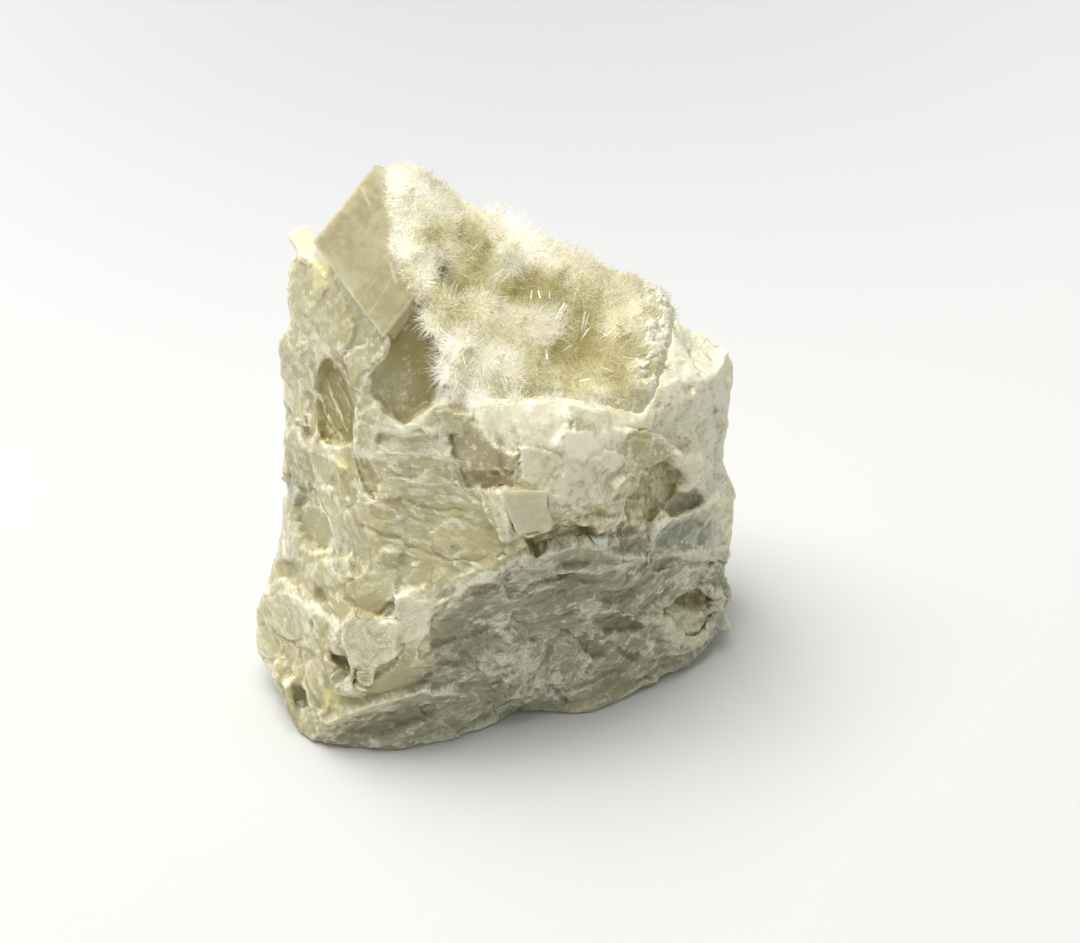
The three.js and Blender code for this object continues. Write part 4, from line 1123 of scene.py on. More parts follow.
TOUCHES = (
    # the whole shaded face below the brow, and the shaded right side; the grey laid on them is painted
    # shade
    patch(((-16.9, -23.2), (-10.8, -18.5), (-4.3, -13.6), (1.2, -9.6), (9.2, -8.7), (27.7, -6.2),
        (30.2, -13.6), (30.2, -25.9), (23.1, -30.2), (9.2, -35.5), (-6.2, -38.5), (-16.9, -42.1),
        (-32.3, -43.9), (-34.2, -40.5), (-21.5, -35.2), (-16.9, -29)), 3.0, grey=0.75, frost=-0.06),
    patch(((-39.7, 4.8), (-36.9, 4.8), (-34.2, -7.5), (-36.9, -13.6), (-40.6, -13.6), (-40.6, -1.3)), 2.0,
        grey=0.12, frost=0.05),
    patch(((15.4, 27.9), (30.8, 18.7), (30.8, 0.2), (24.6, -7.5), (18.5, 4.8), (15.4, 15.6)), 3.0,
        grey=0.12, frost=0.36, smooth=0.3),
    patch(((-27.1, 8.2), (-13.8, 8.2), (-13.5, 3.9), (-27.1, 2.1)), 1.5, frost=0.18),
    patch(((-24.3, 15.3), (-19.7, 16.2), (-18.8, 10.4), (-20.9, 7.9), (-23.7, 10.4)), 1.0, olive=-0.15,
        frost=0.26),
    patch(((20, 17.2), (27.7, 17.2), (27.7, 4.8), (19.7, 4.8)), 2.0, frost=0.15),
    patch(((-29.8, -22.5), (-21.5, -22.5), (-21.5, -29), (-28.9, -29)), 1.0, frost=0.12),
    patch(((-23.1, -17.6), (-14.8, -17.6), (-14.8, -26.5), (-23.1, -26.5)), 1.5, frost=0.06),
    patch(((3.1, 11), (10.8, 11), (15.4, 7.9), (12.3, 4.8), (6.2, 4.8)), 1.5, frost=0.1),
    patch(((12.3, -13), (25.2, -12.4), (25.2, -18.5), (12.3, -18.5)), 1.5, frost=0.1),
    patch(((17.8, -6.8), (29.8, -5.6), (30.2, -13.9), (17.8, -13.6)), 1.0, grey=-0.35, frost=0.08),
    patch(((-13.8, -10.5), (-10.8, -7.5), (-6.2, -5.9), (-6.2, -13.6), (-13.8, -18.2), (-24.6, -15.2),
        (-26.2, -10.5)), 2.0, frost=-0.1),
    # the face beside the large rhomb, with its yellow stain
    patch(((-39.4, 36.8), (-33.8, 32.2), (-30, 26.4), (-29.2, 19.5), (-36.9, 11), (-40, 14.1),
        (-40.6, 21.8)), 2.5, frost=0.05, olive=-0.1, umber=0.06, smooth=0.6),
    patch(((-36, 32.2), (-33.5, 32.8), (-31.7, 30.2), (-32, 27.9), (-34.8, 28.2)), 1.2, honey=0.55),
    patch(((-39.4, 37.2), (-36.9, 39.3), (-33.8, 39), (-34.8, 36.2), (-32.3, 31.3), (-34.2, 31.6),
        (-38.2, 34.7)), 0.6, honey=0.2, frost=0.6, smooth=0.9),
    line(((-38.5, 35.9), (-37.2, 34.4), (-35.1, 32.5), (-32.9, 31)), 0.5, honey=0.4, frost=0.8),
    # the step plate under the rhomb with its tip
    patch(((-34.2, 20.2), (-25.8, 21.2), (-22.8, 19.5), (-23.5, 17.5), (-25.8, 15), (-28, 12.5),
        (-29.5, 13.2), (-31.1, 16.2), (-33.8, 18.4)), 0.6, smooth=0.8, frost=-0.05),
    line(((-33.5, 18.4), (-30.8, 16.2), (-29.2, 13.2), (-27.7, 12.5), (-25.7, 15), (-23.4, 17.6),
        (-22.6, 20.1)), 0.35, 0.12, frost=0.7),
    line(((-30.8, 18.4), (-26.9, 19.5), (-23.4, 19.5)), 0.3, 0.1, frost=0.5),
    line(((-30, 15.3), (-27.4, 17.5), (-24, 18.4)), 0.3, 0.1, frost=0.4),
    # the olive recess: dark at the right, brown at the foot, with a white crust for its border; its olive
    # is partly its own colour and partly painted shade
    patch(((-23.4, 19.3), (-20.5, 25.5), (-16.9, 22.1), (-15.4, 16.8), (-15.2, 13.3), (-16.9, 10.5),
        (-20.8, 6.7), (-23.7, 9.5), (-25.5, 10.2), (-25.7, 15)), 0.8, olive=0.3, smooth=0.9, frost=-0.28),
    patch(((-23.1, 19.6), (-20.5, 25.2), (-17.2, 21.8), (-15.7, 16.8), (-15.7, 12.8), (-17.8, 13.5),
        (-20.9, 16.2)), 2.2, olive=0.45),
    line(((-21.2, 15.3), (-19.7, 17.8), (-18.5, 20.5)), 0.5, olive=0.2, frost=0.25),
    line(((-25.8, 10.7), (-23.4, 9.6), (-21.8, 7.3), (-20.6, 6.2), (-18.8, 7.2), (-16.6, 10.2),
        (-14.5, 11)), 0.65, 0.25, frost=0.95),
    line(((-25.2, 13.5), (-24, 11.3), (-22.5, 9.2)), 0.4, 0.1, frost=0.4),
    # the dark seam along the crust: a sunk groove painted umber as the shadow under the crust's edge
    line(((-22.8, 34.7), (-21.2, 31.9), (-20, 28.8), (-18.3, 25.9), (-16.8, 23), (-15.7, 19.5),
        (-14.8, 15.3), (-14.3, 12.2)), 0.55, -0.6, umber=0.75, frost=-0.5),
    line(((-16.9, 21.2), (-16, 19), (-15.2, 17.2)), 0.45, -0.9, umber=0.9, frost=-0.6),
    line(((-16, 12.8), (-14.9, 11.6), (-13.8, 10.7)), 0.5, -0.2, umber=0.5, frost=0.2),
    # the yellow vug with its white ribs
    patch(((-33.5, 17.8), (-29.8, 17.5), (-28.9, 11), (-28.6, 4.8), (-30.8, 3.9), (-34.2, 4.8),
        (-34.8, 11)), 1.2, olive=0.75, frost=-0.4),
    patch(((-36.3, 12.2), (-34.9, 11.6), (-34.8, 4.8), (-36.5, 4.5)), 0.8, olive=0.45, umber=0.15),
    line(((-35.1, 18.7), (-33.2, 14.7), (-31.7, 10.7), (-29.8, 6.1)), 0.4, 0.35, frost=0.6),
    line(((-36, 16.2), (-34.2, 11.6), (-32.3, 7.3), (-30.8, 4.8)), 0.35, 0.3, frost=0.55),
    line(((-31.7, 16.8), (-30.8, 13.2), (-29.2, 9.5)), 0.3, 0.25, frost=0.45),
    line(((-37.5, 14.1), (-36, 9.5), (-35.1, 4.8)), 0.4, 0.3, frost=0.5),
    line(((-36.5, 3.5), (-34.2, 3), (-32.2, 2.4), (-31.1, 1.3), (-29.8, 0.1)), 0.45, 0.35, frost=0.8,
        honey=0.15),
    patch(((-32, 2.4), (-29.8, 1.5), (-29.2, -0.4), (-31.1, -0.1)), 0.8, honey=0.7),
    # the plates at the left edge
    line(((-38.8, 5.8), (-36.9, 0.2), (-35.1, -3.2), (-33.5, -7.5)), 0.4, 0.2, frost=0.45),
    line(((-36, 2.4), (-34.2, -0.7), (-32.3, -2.2), (-29.2, -4.4)), 0.35, 0.2, frost=0.4),
    patch(((-39.1, 6.4), (-36.3, 4.8), (-35.4, -2.8), (-37.5, -7.5), (-39.4, -4.4)), 1.0, grey=0.2,
        frost=-0.1),
    # cracks and fibres of the pale front
    line(((-28.6, 9.2), (-28.6, 5.5), (-28, 2.4)), 0.6, 0.45, frost=0.6),
    line(((-28.2, 2.2), (-27.4, -0.5), (-25.4, -4.1)), 0.55, -0.5, umber=0.85, frost=-0.3),
    line(((-27.2, 1.9), (-25.8, -0.4), (-24.9, -2.8)), 0.35, -0.2, umber=0.4),
    # a white glint, painted
    line(((-24.2, 3.5), (-23.2, 3.3)), 0.4, 0.3, frost=1.2),
    line(((-24, 8.2), (-21.5, 7.3), (-18.5, 7), (-15.4, 6.1)), 0.35, 0.15, frost=0.5),
    line(((-24.6, 2.8), (-20, 3), (-15.4, 2.5), (-12, 1.8)), 0.35, 0.2, frost=0.45),
    line(((-25.8, -1), (-21.5, -0.7), (-16.9, -1.9), (-13.8, -1.6)), 0.3, 0.15, frost=0.4),
    line(((-27.7, -4.4), (-21.5, -4.4), (-15.4, -5.6), (-10.8, -6.2)), 0.45, -0.25, umber=0.3,
        frost=-0.25),
    line(((-27.4, -8.7), (-24.6, -9.9), (-21.5, -10.5), (-18.5, -12.4), (-15.4, -13)), 0.5, -0.35,
        umber=0.35, frost=-0.3),
    line(((-14.3, 6.7), (-13.1, 3.3), (-11.7, -0.4), (-9.8, -4.1)), 0.35, -0.25, umber=0.6, frost=-0.3),
    patch(((-14.2, 6.4), (-2.8, 6.4), (-2.2, -2.5), (-9.2, -1.9), (-12.9, 0.2)), 1.0, umber=0.3,
        frost=-0.14, smooth=0.7),
    line(((-9.2, -2.2), (-6.2, -1.3), (-3.1, -1.9), (0.8, -2.5)), 0.5, -0.1, umber=0.25, olive=0.35,
        frost=-0.3),
    line(((-13.2, -11.9), (-12.6, -12.4)), 0.35, -0.4, umber=1.0, frost=-0.8),
    # white blocks under the rim of the hollow
    patch(((-9.8, 11.3), (10.2, 11.6), (15.4, 7.3), (12.3, 4.8), (7.7, 7.9), (0, 7.3), (-6.2, 4.8),
        (-9.2, 4.8)), 2.0, frost=0.6, honey=0.08, smooth=0.4),
    patch(((-6.2, 6.4), (12.3, 6.4), (15.4, 0.2), (10.8, -5.6), (3.1, -5.2), (-3.1, -2.5), (-5.4, 1.8)),
        2.5, 0.2, frost=0.4, smooth=0.65),
    line(((-8.3, 9.8), (-7.4, 6.4), (-6.5, 3)), 0.4, 0.15, frost=0.5),
    line(((10.2, 11.9), (12, 10.2), (14.2, 8.8), (15.4, 7.3)), 0.35, 0.25, frost=0.9),
    patch(((10.5, 11.9), (14.2, 11.8), (14.5, 9.5), (12.6, 9.8)), 0.8, olive=0.6, honey=0.3, smooth=0.6,
        frost=-0.3),
    patch(((14.2, 7.3), (16.3, 6.7), (15.7, 5.2), (14.5, 5.8)), 0.8, umber=0.6, honey=0.5),
    # the small rhomb, the slot and the cave; the olive in the slot beside and under the small rhomb is
    # partly painted shade
    patch(((-3.5, -7.2), (3.1, -7.2), (9.5, -8.1), (9.2, -12.4), (3.1, -11.8), (-1.5, -11.3)), 0.8, 0.5,
        olive=0.4, umber=0.05, frost=0.05, smooth=0.4),
    patch(((8.3, -6.8), (11.7, -6.5), (12, -11.8), (8.6, -11.8)), 1.2, 0.6, olive=0.2, frost=-0.05,
        smooth=0.3),
    patch(((1.8, -9), (3.1, -8.1), (5.8, -8.1), (7.1, -9.9), (4.6, -11.2), (2.5, -10.8)), 0.5, 0.5,
        olive=0.1, frost=0.1, smooth=0.5),
    patch(((1.5, -4.4), (12.3, -4.4), (12.3, -7.2), (2.5, -7.5)), 1.2, olive=0.3, frost=-0.1, smooth=0.6),
    patch(((12.6, -4.4), (15.4, 0.2), (19.7, 2.4), (23.4, 1.5), (23.1, -1.3), (19.7, -4.4), (17.7, -8.2),
        (13.5, -8.1)), 1.2, olive=0.45, umber=0.1, smooth=0.6),
    patch(((19.7, 3), (24.3, 3.3), (24.6, -1.3), (20.9, -2.5)), 1.6, 1.3, frost=0.15, olive=-0.3,
        smooth=-0.3),
    patch(((19.7, -2.8), (24.6, -2.5), (25.5, -5.2), (23.1, -6.5), (19.1, -6.2)), 0.8, grey=0.5,
        umber=0.2, frost=-0.15, smooth=0.4),
    line(((16.9, -11.5), (17.5, -9.3), (18.5, -8.1), (20.9, -6.8), (23.1, -6.2), (25.2, -5.6),
        (26.8, -4.5), (27.5, -2.8)), 0.5, 0.3, frost=0.8),
    patch(((19.1, -7.2), (25.8, -6.2), (25.2, -11.3), (19.1, -11.8)), 0.8, grey=0.35, frost=0.05,
        smooth=0.4),
    patch(((25.2, -6.2), (28.9, -5.9), (28.9, -11.3), (25.2, -11.5)), 0.8, smooth=0.6, grey=0.15,
        frost=0.2),
    patch(((-1.5, -9.6), (9.2, -8.5), (10.2, -12.1), (-0.6, -13)), 0.8, 0.8, olive=0.15),
    patch(((24.9, -17.6), (27.7, -17.6), (27.7, -21), (24.9, -21)), 0.8, 1.1),
    # ledges of the shaded face
    line(((-3.1, -13.9), (3.1, -15.2), (9.2, -15.5), (15.4, -13.6), (23.1, -12.4), (28.6, -12.1)), 0.5,
        0.3, frost=0.45),
    line(((3.1, -16.4), (12.3, -17), (18.5, -15.2), (24.6, -13.9), (28.3, -14.2)), 0.5, -0.35, umber=0.3,
        frost=-0.3),
    line(((16.2, -16.1), (21.5, -14.8), (26.2, -15.2)), 0.35, 0.25, frost=0.5),
    line(((-1.5, -18.5), (9.2, -18.2), (15.4, -17.3)), 0.45, -0.3, olive=0.2, frost=-0.25),
    patch(((7.7, -19.8), (15.4, -17.9), (16.6, -19.8), (9.2, -21.6), (6.9, -21)), 1.2, umber=0.35,
        olive=0.3),
    line(((9.2, -21.6), (15.4, -20.1), (17.8, -20.7), (23.1, -18.5), (27.1, -17)), 0.4, 0.3, frost=0.4),
    patch(((7.7, -22.5), (11.1, -21.9), (15.4, -22.8), (14.5, -24.4), (9.2, -24.4)), 1.2, -0.3, umber=0.5,
        frost=-0.4),
    line(((11.1, -21.6), (15.4, -23.2), (20, -22.8)), 0.35, 0.2, frost=0.5),
    patch(((17.5, -20.4), (25.5, -17), (26.5, -19.8), (23.1, -20.7), (19.1, -21.6)), 1.0, -0.4, olive=0.3,
        umber=0.35, frost=-0.4),
    patch(((18.8, -21.6), (25.5, -19.5), (25.8, -23.6), (23.7, -26.7), (19.7, -25.9), (17.8, -23.2)), 2.0,
        0.9, honey=0.35, frost=0.6),
    patch(((20, -23.8), (21.5, -22.8), (22.2, -24.7), (20.6, -25.6)), 1.0, 0.6, frost=0.5),
    patch(((22.2, -21.3), (24, -20.7), (24.3, -22.2), (22.8, -22.8)), 1.0, 0.6, frost=0.5),
    patch(((22.8, -23.8), (24.6, -23.2), (24.6, -25), (23.1, -25.6)), 0.8, 0.5, frost=0.4, honey=0.2),
    patch(((17.8, -19.8), (20.3, -19.2), (20.9, -21.6), (18.8, -22.5)), 0.8, 0.7, frost=0.3),
    patch(((24.3, -18.8), (26.8, -19.5), (26.5, -21.9), (24.9, -21.9)), 0.8, 0.7, frost=0.3),
    patch(((18.5, -25), (21.5, -25.9), (20.9, -27.8), (18.2, -26.8)), 0.8, 0.6, frost=0.2),
    patch(((20.9, -23.2), (24, -22.5), (23.7, -24.7), (21.5, -24.4)), 1.2, olive=0.6, frost=-0.3),
    patch(((5.2, -25.9), (9.2, -25.3), (10.2, -28.2), (7.4, -29)), 1.2, -0.2, umber=0.35, frost=-0.3),
    line(((10.8, -25.9), (12.6, -27.8), (15.4, -29.3)), 0.6, -0.4, grey=0.8, umber=0.3, frost=-0.4),
    line(((13.5, -24.4), (16.9, -26.2), (16.9, -28.2)), 0.6, 0.2, frost=0.6),
    line(((17.7, -28.2), (23.1, -27.2), (25.5, -25.3)), 0.45, 0.3, frost=0.45),
    line(((-9.2, -29), (-3.1, -28.2), (0.9, -25.9)), 0.6, 0.2, frost=0.3),
    patch(((-8.5, -27.5), (-2.3, -26.7), (0, -29.8), (-4.6, -32.1), (-8.3, -31.3)), 2.5, frost=0.25),
    patch(((-15.4, -25.9), (-9.2, -21.6), (-6.2, -25.9), (-10.8, -30.2)), 3.0, -0.2, umber=0.25,
        frost=-0.25),
    line(((0, -33.6), (1.8, -32.7), (4, -35.2)), 0.6, -0.6, umber=0.5),
    line(((-13.1, -40.5), (-6.2, -37.6), (0.8, -33.6)), 0.5, 0.2, frost=0.4),
    line(((5.4, -37), (12.3, -34.2), (18.5, -31.5)), 0.5, 0.2, frost=0.35),
    # the pale foot at the left: blocks, pockets and the long ledge; the umber in its pockets is painted
    # shade
    patch(((-44.6, -15.2), (-29.2, -13), (-21.5, -19.8), (-15.4, -25.9), (-18.5, -33.6), (-36.9, -43.9),
        (-44.6, -25.9)), 3.0, frost=-0.14),
    patch(((-24.6, -4.4), (-10.8, -5.9), (-6.2, -11.8), (-15.4, -18.2), (-26.2, -13.6), (-29.2, -7.5)),
        3.0, frost=-0.12),
    line(((-36.5, -5.6), (-34.2, -5.3), (-32.3, -7.5), (-31.7, -10.5), (-32.9, -12.4)), 0.45, 0.25,
        frost=0.55),
    patch(((-36, -6.2), (-32.9, -6.2), (-32, -9.8), (-33.5, -12.1), (-36, -10.5)), 1.0, -0.2, umber=0.12,
        frost=-0.25, smooth=0.7),
    patch(((-41.2, -13.6), (-37.2, -13.9), (-36.6, -16.7), (-40, -16.7)), 1.0, -0.1, umber=0.2,
        frost=-0.25),
    patch(((-35.1, -17.6), (-32.6, -17.9), (-32.6, -20.4), (-34.5, -19.8)), 0.9, -0.1, umber=0.25,
        frost=-0.25),
    patch(((-30, -19.8), (-25.8, -18.8), (-21.8, -20.7), (-22.8, -22.5), (-26.2, -21.6), (-29.2, -21.6)),
        0.9, -0.3, umber=0.4, frost=-0.3),
    line(((-43.7, -18.2), (-39.7, -17.3), (-35.4, -20.7), (-31.4, -24.1)), 1.2, 0.3, frost=0.5),
    patch(((-44, -19.8), (-36.9, -19.8), (-33.8, -25.9), (-36.9, -29), (-42.5, -27.5)), 3.0, frost=0.08,
        honey=0.06),
    line(((-42.8, -23.6), (-38.5, -25.9), (-36.9, -25.9)), 0.6, -0.3, umber=0.3),
    patch(((-22.5, -18.2), (-15.7, -19.8), (-16.6, -25.9), (-22.2, -27.2)), 2.2, frost=0.3, honey=0.06),
    patch(((-30, -22.8), (-25.8, -21.6), (-21.8, -23.2), (-21.5, -26.7), (-26.6, -30.2), (-28.6, -28.4)),
        1.0, frost=0.2, smooth=0.5),
    line(((-30, -23.2), (-30.2, -26.2), (-28.5, -28.4), (-26.6, -30.1), (-23.8, -28.2), (-21.2, -26.5)),
        0.4, 0.15, frost=0.6),
    line(((-32.9, -27.5), (-30, -29), (-27.7, -30.2), (-27.4, -32.7)), 0.7, -0.3, umber=0.6, frost=-0.3),
    patch(((-32.9, -28.4), (-30, -29.3), (-26.5, -30.2), (-24.6, -32.4), (-27.1, -34.2), (-31.4, -33.6)),
        1.6, 1.5, umber=0.15, frost=-0.05),
    patch(((-33.2, -33.6), (-31.1, -33.3), (-31.4, -36.4), (-32.9, -36.1)), 0.9, honey=0.9, olive=0.4),
    line(((-36.9, -31.5), (-35.7, -33.9), (-35.4, -35.8), (-34.5, -37.6)), 0.5, 0.3, frost=0.6,
        honey=0.2),
    patch(((-38.5, -33), (-35.7, -33.6), (-35.4, -36.4), (-37.5, -36.1)), 0.7, -0.2, grey=0.6, umber=0.1,
        frost=-0.25, smooth=0.9),
    patch(((-39.7, -35.2), (-37.5, -37), (-36.9, -39.8), (-38.8, -38.8)), 0.8, umber=0.7, olive=0.4,
        frost=-0.4),
    patch(((-34.2, -40.2), (-35.1, -37.6), (-31.4, -35.8), (-26.8, -35.2), (-16.9, -33), (-15.4, -33.9),
        (-18.5, -35.5), (-25.8, -37.6), (-29.8, -39.5)), 0.8, frost=0.2, smooth=0.5),
    line(((-34.8, -37.6), (-30.8, -35.8), (-26.2, -35.2), (-16.6, -33)), 0.45, 0.15, frost=0.5),
    line(((-34.2, -40.7), (-30, -39.6), (-25.8, -37.6), (-16.9, -33.9), (-9.2, -31.5)), 0.5, 0.2,
        frost=0.6),
    line(((-30.8, -41), (-24.6, -38.8), (-15.4, -35.5), (-6.2, -32.7)), 0.55, -0.3, umber=0.3, olive=0.15,
        frost=-0.25),
    # brow between the pale and the shaded face
    line(((-16.9, -22.2), (-15.4, -20.1), (-11.1, -17.9), (-7.4, -16.4), (-4.3, -13.6), (-2.5, -12.7)),
        0.5, 0.2, frost=0.45),
    line(((-16.9, -11.8), (-14.8, -13.6), (-10.8, -14.2), (-8.3, -13)), 0.35, -0.25, umber=0.4),
    # the facets under the right end of the hollow, with the vein across them
    line(((8.3, 9.6), (11.1, 8.7), (14.2, 7.2), (17.7, 5.8), (21.1, 4.2)), 0.35, 0.15, frost=0.7),
    patch(((13.2, 6.4), (18.5, 5.2), (23.1, 3.8), (20.9, 1.8), (15.4, -0.7), (11.1, -4.4), (9.5, -1.6),
        (12, 3)), 0.8, frost=-0.24, olive=0.16, smooth=0.5),
    patch(((-1.7, 3.9), (4, 3.3), (3.1, -0.7), (-2.2, -1)), 0.6, frost=-0.2, umber=0.04, smooth=0.5),
    patch(((4.3, 5.5), (9.2, 6.1), (10.2, 3), (6.2, 0.8)), 0.5, frost=0.25, smooth=0.6),
    patch(((-6.5, 11.9), (3.1, 11.3), (5.8, 6.4), (0, 5.5), (-4.3, 8.5)), 1.0, frost=0.3),
    patch(((13.2, -4.4), (16.3, -4.1), (16.9, -7.2), (14.2, -8.4)), 0.6, 0.5, olive=0.3, honey=0.35,
        frost=0.1, smooth=0.6),
    line(((16.3, -11.5), (17.2, -9.3), (18.8, -7.8), (21.2, -6.5), (23.4, -5.9), (25.5, -5.2),
        (27.1, -3.8)), 0.5, 0.25, frost=0.8),
    patch(((17.8, -8.7), (26.5, -7.8), (26.5, -11.3), (17.8, -11.6)), 0.5, grey=0.3, frost=-0.2,
        smooth=0.5),
    patch(((26.5, 9.5), (29.5, 10.4), (29.2, 3.3), (27.1, 3)), 1.0, grey=0.2, frost=-0.3, smooth=0.8),
    patch(((19.1, 12.8), (23.1, 13.5), (23.7, 9.8), (19.7, 9.2)), 0.6, frost=-0.3, smooth=0.5),
    patch(((22.2, 7.9), (25.5, 8.5), (25.8, 4.8), (23.1, 4.2)), 0.6, frost=-0.3, olive=0.08, smooth=0.5),
    patch(((16.9, 10.4), (20, 10.7), (20.6, 6.7), (17.5, 7)), 0.6, frost=-0.25, smooth=0.5),
    face(((17.2, 12.8), (21.2, 14.1), (22.2, 10.7), (18.5, 9.5)), 0.2, frost=0.1),
    face(((23.1, 12.2), (26.5, 12.8), (26.8, 8.8), (23.7, 8.5)), 0.25, frost=0.1),
    face(((13.5, 6.4), (19.1, 5.2), (16.3, 0.2), (12, -1)), 0.1),
    face(((11.1, -1.3), (15.4, -0.7), (14.2, -3.8), (11.1, -5)), 0.1, frost=0.1),
    # flat cleavage faces
    face(((-36.3, 3.5), (-32.8, 3.2), (-31.4, 0.4), (-32.5, -1.9), (-34.5, -1.6)), 0.2, smooth=0.6,
        frost=-0.12),
    face(((-36, -5), (-34.2, -5.5), (-32, -9.9), (-32.2, -11.9), (-34.9, -12.2), (-37.5, -7.8)), 0.1,
        smooth=0.6, frost=-0.1),
    face(((-39.7, -0.7), (-38, -0.2), (-36.3, -3), (-36.9, -5), (-39.4, -7.2), (-39.8, -5)), 0.2,
        smooth=0.6, grey=0.2, frost=-0.1),
    face(((-14.2, 5.9), (-10, 7.6), (-6.2, 3.8), (-6.2, 0.4), (-10.6, -0.2), (-13.4, 2.8)), 0.15,
        smooth=0.5, umber=0.1, frost=-0.15),
    face(((-6.2, 3.5), (-3.4, 3.2), (-2.9, -1), (-5.5, -1), (-6.2, 0.4)), 0.15, smooth=0.5, umber=0.12,
        frost=-0.1),
    face(((-9.1, -0.2), (-4.2, 0.1), (-4.2, -2.2), (-9.1, -2.2)), 0.0, smooth=0.6, umber=0.15,
        frost=-0.2),
    face(((-16, 9.3), (-10.3, 9), (-10.6, 6.2), (-14.3, 6.2)), 0.2, smooth=0.5, frost=-0.1),
    face(((-9.4, -2.7), (-5.8, -2.4), (-4.2, -9.2), (-5.1, -9.9), (-8.2, -6.4)), 0.3, smooth=0.4,
        frost=0.15),
    face(((-28.3, 7.3), (-27.1, 8.5), (-24.3, 8.2), (-24.9, 2.8), (-27.1, 2.1), (-28.2, 3.8)), 0.25,
        smooth=0.5, frost=-0.05),
    face(((-25.7, -4.4), (-21.5, -4.1), (-20.2, -6.4), (-24.3, -7.8), (-26.3, -6.4)), -0.2, smooth=0.3,
        umber=0.15, frost=-0.2),
    face(((-29.7, -18.1), (-25.7, -13.9), (-22.2, -15.3), (-22.6, -20.1), (-27.1, -22.8)), 0.2,
        smooth=0.4, frost=-0.15),
    face(((-30.3, -23.3), (-27.7, -20.8), (-23.5, -22.8), (-21.5, -27), (-26.5, -31.8), (-29.2, -28.5)),
        0.5, smooth=0.5, frost=0.1),
    face(((-26.2, -32.1), (-21.5, -29), (-17.4, -30.5), (-19.5, -33.2), (-25.7, -33.6)), 0.2, smooth=0.6),
    face(((-33.5, -38.2), (-29.2, -35.2), (-10.3, -32.5), (-10.8, -34.1), (-30.8, -39.3)), 0.3,
        smooth=0.5, frost=0.1),
    face(((-2.9, 3.5), (3.5, 3.2), (4.2, 1.6), (-0.3, -1), (-2.8, -0.8)), 0.2, smooth=0.5, frost=0.25),
    face(((3.8, 6.1), (8.6, 6.4), (9.5, 3.5), (6.6, 1.3), (4.5, 2.2)), 0.2, smooth=0.5, frost=0.3),
    face(((9.7, 3.5), (12.9, 2.8), (12.9, 1.3), (10.5, -0.4), (9.4, 1.3)), 0.3, smooth=0.5, frost=0.2),
    face(((13.4, 4.5), (18.2, 4.8), (21.4, 3.5), (18.2, 1.6), (14, -1), (12.8, 0.2)), 0.35, smooth=0.5,
        grey=0.1),
    face(((21.4, -3.6), (24.3, -3.5), (24.3, -5.5), (21.7, -5.6)), 0.2, smooth=0.6, umber=0.1, grey=0.3),
    face(((19.2, -9), (24, -7.5), (24.9, -9.3), (23.1, -11.3), (19.5, -11.3)), 0.2, smooth=0.5, grey=0.2),
    face(((-1.4, -9.6), (2.5, -8.7), (2.5, -11.6), (-1.4, -11.6)), 0.1, smooth=0.6, olive=0.1,
        frost=-0.1),
    face(((22.8, -11.9), (29.1, -11.6), (29.1, -14.1), (22.8, -14.1)), 0.3, smooth=0.4, frost=0.15),
    face(((1.5, -5.2), (6, -4.8), (9.2, -6.2), (7.4, -7.6), (1.8, -7.5)), 0.15, smooth=0.5, frost=0.05),
    face(((-3.2, -11.9), (8.6, -11.6), (16.6, -12.5), (8.6, -14.5), (0, -15.2), (-2.9, -15.2)), 0.3,
        smooth=0.4, frost=0.2),
    face(((-30.5, 17.5), (-24.6, 21.2), (-23.4, 18.7), (-28.5, 13.2)), 0.35, smooth=0.7, frost=0.05),
    face(((-32.6, 31), (-28.5, 21.5), (-30.5, 17.5), (-33.7, 21.2), (-36.5, 24.2)), 0.2, smooth=0.6,
        frost=-0.05),
    face(((-37.5, 32.8), (-33.7, 31.3), (-32.5, 28.2), (-36.5, 24.2), (-38.5, 26.5)), 0.1, smooth=0.5,
        frost=-0.05),
    face(((15.4, 26.4), (19.7, 23.6), (19.1, 20.2), (15.4, 20.8)), 0.3, smooth=0.5, frost=0.2),
    face(((27.1, 19.3), (29.7, 16.5), (29.8, 11), (28, 5.5), (26.8, 11)), 0.2, smooth=0.7, frost=0.1),
    face(((-42.8, -19.8), (-38.5, -18.2), (-34.2, -21.6), (-36.9, -25.9), (-41.5, -24.7)), 0.25,
        smooth=0.3, frost=0.1),
    face(((-22.2, -19.2), (-16.6, -19.8), (-17.2, -24.7), (-21.5, -25.9)), 0.3, smooth=0.3, frost=0.1),
)


